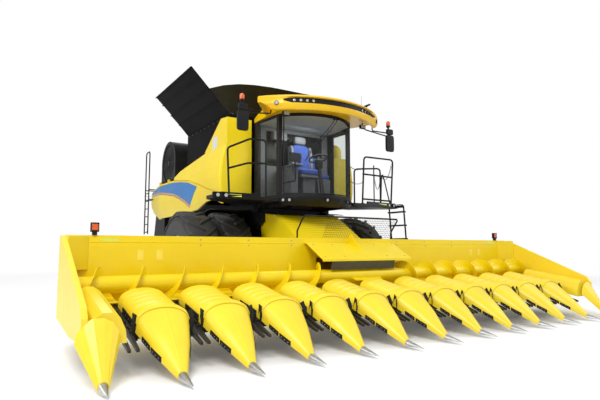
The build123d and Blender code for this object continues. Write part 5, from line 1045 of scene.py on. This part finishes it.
# Canvas fronts of the tank extension: the panel leans out, its top edge is a bow, and its corners turn back to the
# flaps' edges. By share of the half width: x of the foot, and x, distance out from the tank's wall and z of the top
footRows = np.array([(0.0, 0.0), (0.9, 1.44), (1.0, 1.5)])
topRows = np.array([(0.0, 0.0, 0.45, 4.6), (0.2, 0.38, 0.45, 4.6), (0.4, 0.76, 0.44, 4.6), (0.6, 1.12, 0.4, 4.592),
                    (0.78, 1.43, 0.33, 4.575), (0.9, 1.7, 0.18, 4.545), (1.0, 1.93, 0.0, 4.49)])
canvasParts = []
line = np.linspace(0, 1, 15)[:, None]
for wallY, outwards in ((-1.25, -1), (1.15, 1)):
    rows = []
    for share in np.linspace(-1, 1, 61):
        topX, out, topZ = [np.interp(abs(share), topRows[:, 0], topRows[:, i]) for i in (1, 2, 3)]
        foot = np.array([np.sign(share) * np.interp(abs(share), *footRows.T), wallY, 4.0505])
        top = np.array([np.sign(share) * topX, wallY + outwards * out, topZ])
        # between them the cloth sags: 0.0144 sin(pi s) (0.4 + 0.6 cos^2(6 pi share))
        sag = 0.0144 * np.sin(pi * line) * (0.4 + 0.6 * cos(6 * pi * share)**2)
        rows.append(foot + (top - foot) * line - sag * (0, outwards, 0))
    canvasParts.append(surface(rows))
# the olive-gold tint of this sheet is painted sheen on near-black cloth
piece("tank_canvas_panels", joined(*canvasParts), oliveSheenSheet, replaced=["tank_extensions"], smooth=50, thick=0.004)


def onSheet(spots, lift):
    # spots (x, z) laid on the header's back sheet
    return laidOn("header_frame", [[(x, -3.6, z) for x, z in row] for row in spots], (0, 1, 0), lift)


def sheetFilm(xFrom, xTo, zFrom, zTo):
    # a flat film on that sheet
    return surface(onSheet([[(x, z) for z in (zFrom, zTo)] for x in (xFrom, xTo)], 0.002))


labels = [sheetFilm(side * x - 0.043, side * x + 0.043, 1.15, 1.29) for side in (-1, 1) for x in (3.686, 3.415)]
reflectors = [sheetFilm(side * 4.21, side * 3.975, 1.404, 1.45) for side in (-1, 1)]
boltSpots = [(side * x, z) for side in (-1, 1) for x in (1.2, 2.0, 2.8, 4.5) for z in (1.36, 1.44)]
piece("sheet_labels", joined(*labels), ribPlastic, "header", thick=films["labelThick"])
piece("sheet_reflectors", joined(*reflectors), reflectorFilm, "header", thick=films["labelThick"])
piece("sheet_bolts", boltHeads(onSheet([boltSpots], -0.001)[0], (0, -1, 0)), zincBolt, "header", smooth=20)

# Rolled bead along the back sheet, and bolted corner plates between the sheet and the end shields
beadEnds = onSheet([[(side * x, 1.395) for x in (1.12, 4.36)] for side in (-1, 1)], 0.0)
piece("sheet_beads", joined(*[pipe(ends, 0.005, 8) for ends in beadEnds]), sheetPaint, "header", smooth=60)
cornerPlate = plate([(4.638, -3.42), (4.36, -3.205), (4.36, -3.19), (4.638, -3.19)], 1.03, 1.476, 2)
piece("sheet_corner_plates", joined(*[scaled(cornerPlate, (side, 1, 1)) for side in (-1, 1)]), sheetPaint, "header",
      bevel=0.012)

# Rib over the middle hood, and its fixing bolts
ribOutline = [(-3.19, 1.41), (-3.19, 1.6), (-3.235, 1.585), (-3.56, 1.24), (-3.54, 1.215), (-3.27, 1.385)]
piece("middle_hood_rib", plate(ribOutline, 0.03, 0.042), sheetPaint, "header", bevel=0.002)
hoodSpots = [(x, y, 1.9) for x in (-0.85, -0.45, 0.5, 0.93) for y in (-3.33, -3.68)]
hoodBolts = boltHeads(laidOn("centre_hood", hoodSpots, (0, 0, -1), -0.001), (0, -0.3, 0.95))
piece("middle_hood_bolts", hoodBolts, zincBolt, "header", smooth=20)

# Header beacons: a black foot and frame round an orange lens
lampNode = nodes["header_beacons"]
lampY = float(np.mean([(lampNode.matrix_world @ Vector(corner))[1] for corner in lampNode.bound_box]))
frameBoxes = [
    # x from and to, half depth, z from and to
    (-0.03, 0.03, 0.025, 1.4873, 1.535), (-0.052, 0.052, 0.03, 1.53, 1.55), (-0.052, 0.052, 0.03, 1.64, 1.656),
    (-0.052, -0.044, 0.03, 1.54, 1.65), (0.044, 0.052, 0.03, 1.54, 1.65),
]
frames, domes = [], []
for x in (-4.29, 4.29):
    frames += [block((x + a, lampY - deep, low), (x + b, lampY + deep, high)) for a, b, deep, low, high in frameBoxes]
    domes.append(cushion((x, lampY, 1.595), (0.044, 0.033, 0.045), 0.35, rows=17, columns=32))
piece("header_lamp_frames", joined(*frames), blackPlastic, "header", bevel=0.003)
piece("header_lamp_lenses", joined(*domes), orangeLens, "header", replaced=["header_beacons"], smooth=45)

# Tread bars over the feeder house and the wire mesh inside the guard hoop
treadSection = [(-0.011, -0.002), (-0.008, 0.006), (0.008, 0.006), (0.011, -0.002)]
treads = []
for y in np.arange(-3.05, -1.95, 0.062):
    ends = laidOn("feeder_house", [(x, y, 2.6) for x in (-0.72, 0.72)], (0, 0, -1), 0.0)
    treads.append(bar([[(end[0], end[1] + u, end[2] + w + u * 0.6) for u, w in treadSection] for end in ends]))
piece("feeder_tread_bars", joined(*treads), sheetPaint, "header", smooth=30)
hoopLow, hoopHigh = np.array([0, -3.18, 1.49]), np.array([0, -3.384, 1.85])
wireEnds = [(hoopLow + (x, 0, 0), hoopHigh + (x, 0, 0)) for x in np.arange(-0.55, 1.05, 0.04)]
for share in np.linspace(0.06, 0.98, 10):
    at = hoopLow + (hoopHigh - hoopLow) * share
    wireEnds.append((at + (-0.55, 0, 0), at + (1.04, 0, 0)))
wires = [pipe(ends, 0.0022, 4, caps=False) for ends in wireEnds]
piece("guard_wire_mesh", joined(*wires), blackEnamel, "header", smooth=60)

# Platforms with their decks, brackets and studs, and the handrails on them
deckZ = 2.26
hoops = [
    [(-1.15, -2.2, deckZ), (-1.155, -2.2, 3.35), (-1.49, -2.2, 3.334), (-1.94, -2.19, 3.12), (-1.89, -2.18, deckZ)],
    [(1.2, -2.2, deckZ), (1.26, -2.2, 3.28), (2.14, -2.16, 3.3), (2.08, -2.14, deckZ)],
    [(2.08, -1.8, deckZ), (2.08, -1.8, 3.15), (1.62, -1.42, 3.15), (1.62, -1.42, deckZ)],
]
crossRails = [
    [(-1.152, -2.2, 2.9), (-1.53, -2.2, 2.875), (-1.916, -2.19, 2.747)],
    [(1.22, -2.2, 2.9), (2.12, -2.15, 2.9)], [(1.2, -2.2, 2.36), (2.08, -2.14, 2.36)],
]
grabRail = [(1.76, -2.16, deckZ), (1.8, -2.16, 3.06), (2.06, -2.13, 2.3)]
railParts = [pipe(rounded(route, 0.09, 8), 0.0185, 16) for route in hoops + crossRails]
railParts += [drum(foot, np.add(foot, (0, 0, 0.012)), 0.042, 24, 0.003)
              for hoop in hoops for foot in (hoop[0], hoop[-1])]
railParts += [drum((1.55, -2.18, deckZ), (1.55, -2.18, 3.12), 0.013, 12), pipe(rounded(grabRail, 0.05, 8), 0.014, 12)]
deck = [(0.91, -2.26), (1.3, -2.26), (2.198, -2.167), (2.198, -1.867), (1.5, -1.31), (0.91, -1.31)]
beam = [(1.3, -2.26), (2.198, -2.167), (2.194, -2.127), (1.296, -2.22)]
platform = joined(plate(deck, 2.195, deckZ, 2), plate(beam, 2.195, 2.31, 2),
                  block((0.84, -1.31, 2.05), (0.96, -1.2505, deckZ)), block((0.62, -2.1, 2.12), (0.74, -1.2505, deckZ)))
# ears and pin of the front ladder, on the left
ladderEars = [block((2.168, -2.34, z - 0.008), (2.235, -2.157, z + 0.008)) for z in (2.215, 2.275)]
ladderPin = drum((2.235, -2.34, 2.207), (2.235, -2.34, 2.283), 0.012, 16)
deckParts = joined(scaled(platform, (-1, 1, 1)), platform, *ladderEars, ladderPin)
piece("platform_decks", deckParts, blackEnamel, replaced=["platforms"], bevel=0.004)
lozenge = plate([(-0.014, 0), (0, -0.0035), (0.014, 0), (0, 0.0035)], 0, 0.0016, 2)
lozengeAcross = lozenge[0][:, [1, 0, 2]], lozenge[1]
studs = [], []
for side in (-1, 1):
    for i, y in enumerate(np.arange(-2.1, -1.34, 0.042)):
        for j, x in enumerate(np.arange(0.94, 2.12, 0.042)):
            # only up to 30 mm from the deck's slanted rear edge
            if y + 1.867 < (2.198 - x) * 0.79 - 0.03:
                studs[(i + j) % 2].append((side * x, y, deckZ))
studParts = joined(copied(lozenge, studs[1]), copied(lozengeAcross, studs[0]))
piece("deck_tread_studs", studParts, wornSteel)
piece("handrail_tubes", joined(*railParts), blackEnamel, smooth=50)


def chainWay(start, end, sag, count):
    # links that hang 4 sag s (1 - s) below the line from start to end, each turned a quarter from the last: long rings
    # of 7 mm wire, 0.45 as wide as they are long
    start, end = np.array(start), np.array(end)
    turn, ring = circle(12)[:, None, None], circle(6)[None, :, None]
    links = []
    for i in range(count):
        shares = (i - 0.15) / count, (i + 1.15) / count
        a, b = [start + (end - start) * s - (0, 0, sag * 4 * s * (1 - s)) for s in shares]
        half = np.linalg.norm(b - a) / 2
        way = (b - a) / (2 * half)
        beside = np.cross(way, (0, 0, 1)) if i % 2 else np.cross(np.cross(way, (0, 0, 1)), way)
        beside /= np.linalg.norm(beside)
        middle = half * (np.cos(turn) * way + 0.45 * np.sin(turn) * beside)
        outwards = np.cos(turn) * way + np.sin(turn) * beside
        tube = middle + 0.0035 * (np.cos(ring) * outwards + np.sin(ring) * np.cross(way, beside))
        links.append(surface(tube + (a + b) / 2, closeRows=True, closeColumns=True))
    return joined(*links)


# Safety chains across the gaps between the rails: from, to, sag, links
safetyChains = [
    ((0.95, -2.1, 3.05), (1.24, -2.19, 3.03), 0.05, 11), ((0.95, -2.1, 2.74), (1.22, -2.19, 2.72), 0.05, 11),
    ((1.56, -2.17, 2.9), (1.77, -2.15, 2.86), 0.28, 24), ((2.13, -2.13, 3.2), (2.085, -1.82, 3.0), 0.22, 20),
]
piece("safety_chains", joined(*[chainWay(*values) for values in safetyChains]), wornSteel, smooth=60)

# Rotary screen: rings, spokes and a hub, made about an x of 0 that comes to lie 10.5 mm inside the disc's face
screen = {"y": 2.25, "z": 3.52, "hub": 0.07, "outer": 0.462, "spokes": 24, "off": 0.0105}
screenParts = [lathe([(-0.0115, r - 0.004), (-0.0155, r), (-0.0115, r + 0.004)]) for r in np.arange(0.09, 0.47, 0.045)]
screenParts += [pipe([(-0.013, r * cos(a), r * sin(a)) for r in (screen["hub"], screen["outer"])], 0.003, 6)
                for a in circle(screen["spokes"])]
screenParts.append(drum((-0.008, 0, 0), (-0.022, 0, 0), screen["hub"], 32, 0.004))
discX = laidOn("rotary_screen", [(-2.0, 2.4, 3.6)], (1, 0, 0), 0.0)[0][0]
screenPart = copied(joined(*screenParts), [(discX + screen["off"], screen["y"], screen["z"])])
piece("rotary_screen_wires", screenPart, blackEnamel, "rotary_screen", smooth=50)

# Hoses and a valve block under the cab floor
hoses = []
for i, x in enumerate((-0.52, -0.44, -0.36, 0.3, 0.38, 0.46, 0.54)):
    route = [(x, -1.255, 2.19 - 0.01 * i), (x, -1.5, 2.16), (x * 0.9, -1.75, 2.155), (x * 0.8, -1.95, 2.2)]
    hoses.append(pipe(rounded(route, 0.05, 8), 0.016, 10))
hoses.append(block((-0.3, -1.7, 2.125), (0.25, -1.48, 2.19)))
hoses += [drum((x, -1.52, 2.126), (x, -1.52, 2.105), 0.02, 12, 0.003) for x in np.linspace(-0.24, 0.19, 6)]
piece("under_cab_hoses", joined(*hoses), flapRubber, smooth=45)

# Bolt row along the tank's right wall
tankSpots = laidOn("grain_tank", [(-1.8, y, 4.0) for y in np.arange(-0.95, 1.1, 0.25)], (1, 0, 0), -0.001)
piece("tank_bolts", boltHeads(tankSpots, (-1, 0, 0), 0.01), zincBolt, smooth=20)
print("body dressed")

# Finishes of the solids that show as they are
nodeFinishes = {
    "body_yellow": sheetPaint, "roof_yellow": roofShell, "frame_black": blackEnamel, "black_plastic": blackPlastic,
    "charcoal": charcoalSheet, "tyre": tyreRubber, "rim_grey": rimEnamel, "steel": wornSteel,
    "snout_yellow": snoutPlastic, "glass": cabPane, "amber": orangeLens, "lamp": lampLens, "rubber": oliveRubber,
    "seat_blue": seatCloth, "cast_grey": castIron, "canvas": oliveSheenSheet,
}
# nodes that look unlike the rest of their slot
ownFinishes = {"grain_tank": charcoalSheet, "threshing_body": blackEnamel, "straw_hood": blackPlastic,
               "lift_rods": chromeRod}
slotOfNode = {row["node"]: row["material_slot"] for row in frame["record"]["subparts"]}
for name, solid in nodes.items():
    solid.data.materials.clear()
    solid.data.materials.append(ownFinishes.get(name, nodeFinishes[slotOfNode[name]]))
print("solids finished")

# Stage: floor, world, lamps and camera
stage = {"floorSize": 160.0, "floorMatt": 0.62, "floorSeen": 0.93, "floorGlow": 0.08, "whiteFrom": 9.0, "whiteBy": 22.0,
         "worldStrength": 0.62}


def grey(value):
    return (value, value, value, 1)


def greater(tree, first, second):
    # the greater of two sockets
    return addNode(tree, "ShaderNodeMath", {0: first, 1: second}, operation="MAXIMUM").outputs[0]


floorMesh = bpy.data.meshes.new("floor")
half = stage["floorSize"] / 2
floorMesh.from_pydata([(-half, -half, 0), (half, -half, 0), (half, half, 0), (-half, half, 0)], [], [(0, 1, 2, 3)])
floor = bpy.data.objects.new("floor", floorMesh)
bpy.context.scene.collection.objects.link(floor)
floorFinish = bpy.data.materials.new("pale_studio_floor")
tree = emptied(floorFinish)
light = addNode(tree, "ShaderNodeLightPath").outputs
matt = addNode(tree, "ShaderNodeBsdfDiffuse", {"Color": grey(stage["floorMatt"])})
seen = addNode(tree, "ShaderNodeBsdfDiffuse", {"Color": grey(stage["floorSeen"])})
glow = addNode(tree, "ShaderNodeEmission", {"Strength": stage["floorGlow"]})
lifted = addNode(tree, "ShaderNodeAddShader", {0: seen.outputs[0], 1: glow.outputs[0]})
# far from the machine the floor is plain white, so that it meets the backdrop without a line
place = addNode(tree, "ShaderNodeTexCoord").outputs["Object"]
far = addNode(tree, "ShaderNodeVectorMath", {0: place}, operation="LENGTH")
fade = addNode(tree, "ShaderNodeMapRange", {"Value": far.outputs["Value"], "From Min": stage["whiteFrom"],
                                            "From Max": stage["whiteBy"]}, interpolation_type="SMOOTHSTEP")
white = addNode(tree, "ShaderNodeEmission", {"Strength": 1.0})
whitened = addNode(tree, "ShaderNodeMixShader", {0: fade.outputs["Result"], 1: lifted.outputs[0], 2: white.outputs[0]})
# the camera, mirrors and panes see that floor, and all else a matt one
direct = greater(tree, greater(tree, light["Is Camera Ray"], light["Is Glossy Ray"]), light["Is Transmission Ray"])
shown = addNode(tree, "ShaderNodeMixShader", {0: direct, 1: matt.outputs[0], 2: whitened.outputs[0]})
addNode(tree, "ShaderNodeOutputMaterial", {"Surface": shown.outputs[0]})
floorMesh.materials.append(floorFinish)

world = bpy.data.worlds.new("studio")
bpy.context.scene.world = world
tree = emptied(world)
light = addNode(tree, "ShaderNodeLightPath").outputs
direct = greater(tree, light["Is Camera Ray"], light["Is Transmission Ray"])
soft = addNode(tree, "ShaderNodeBackground", {"Strength": stage["worldStrength"], "Color": grey(1)})
white = addNode(tree, "ShaderNodeBackground", {"Strength": 1.0, "Color": grey(1)})
shown = addNode(tree, "ShaderNodeMixShader", {0: direct, 1: soft.outputs[0], 2: white.outputs[0]})
addNode(tree, "ShaderNodeOutputWorld", {"Surface": shown.outputs[0]})

lamps = [
    # name, place, size, power, aim
    ("key_softbox", (-9.0, -12.0, 13.0), 7.0, 1500, (0, -2.5, 1.5)),
    ("fill_softbox", (12.0, -9.0, 8.0), 9.0, 420, (0, -1.0, 2.0)),
    ("side_softbox", (-15.0, 0.5, 7.0), 8.0, 650, (-1.5, 0.0, 2.4)),
    ("rear_softbox", (3.0, 15.0, 12.0), 9.0, 600, (0, 1.0, 2.0)),
    ("cab_softbox", (0.0, -2.25, 3.62), 0.9, 21, (0, -1.75, 2.6)),
]
for name, place, size, power, aim in lamps:
    lampData = bpy.data.lights.new(name, "AREA")
    lampData.shape, lampData.size, lampData.energy = "DISK", size, power
    lamp = bpy.data.objects.new(name, lampData)
    lamp.location = place
    lamp.rotation_euler = (Vector(aim) - Vector(place)).to_track_quat("-Z", "Y").to_euler()
    bpy.context.scene.collection.objects.link(lamp)

camera = {"place": (-5.477, -10.096, 1.318), "turn": (95.67, 0.0, -32.8), "lens": 28.91, "sensor": 36.0, "clip": 300.0}
cameraData = bpy.data.cameras.new("photo_view")
cameraData.lens, cameraData.sensor_width, cameraData.clip_end = camera["lens"], camera["sensor"], camera["clip"]
viewer = bpy.data.objects.new("photo_view", cameraData)
viewer.location = camera["place"]
viewer.rotation_euler = [radians(angle) for angle in camera["turn"]]
bpy.context.scene.collection.objects.link(viewer)
bpy.context.scene.camera = viewer
bpy.context.scene.view_settings.view_transform = "Standard"
print("stage set,", pieceCount, "pieces")
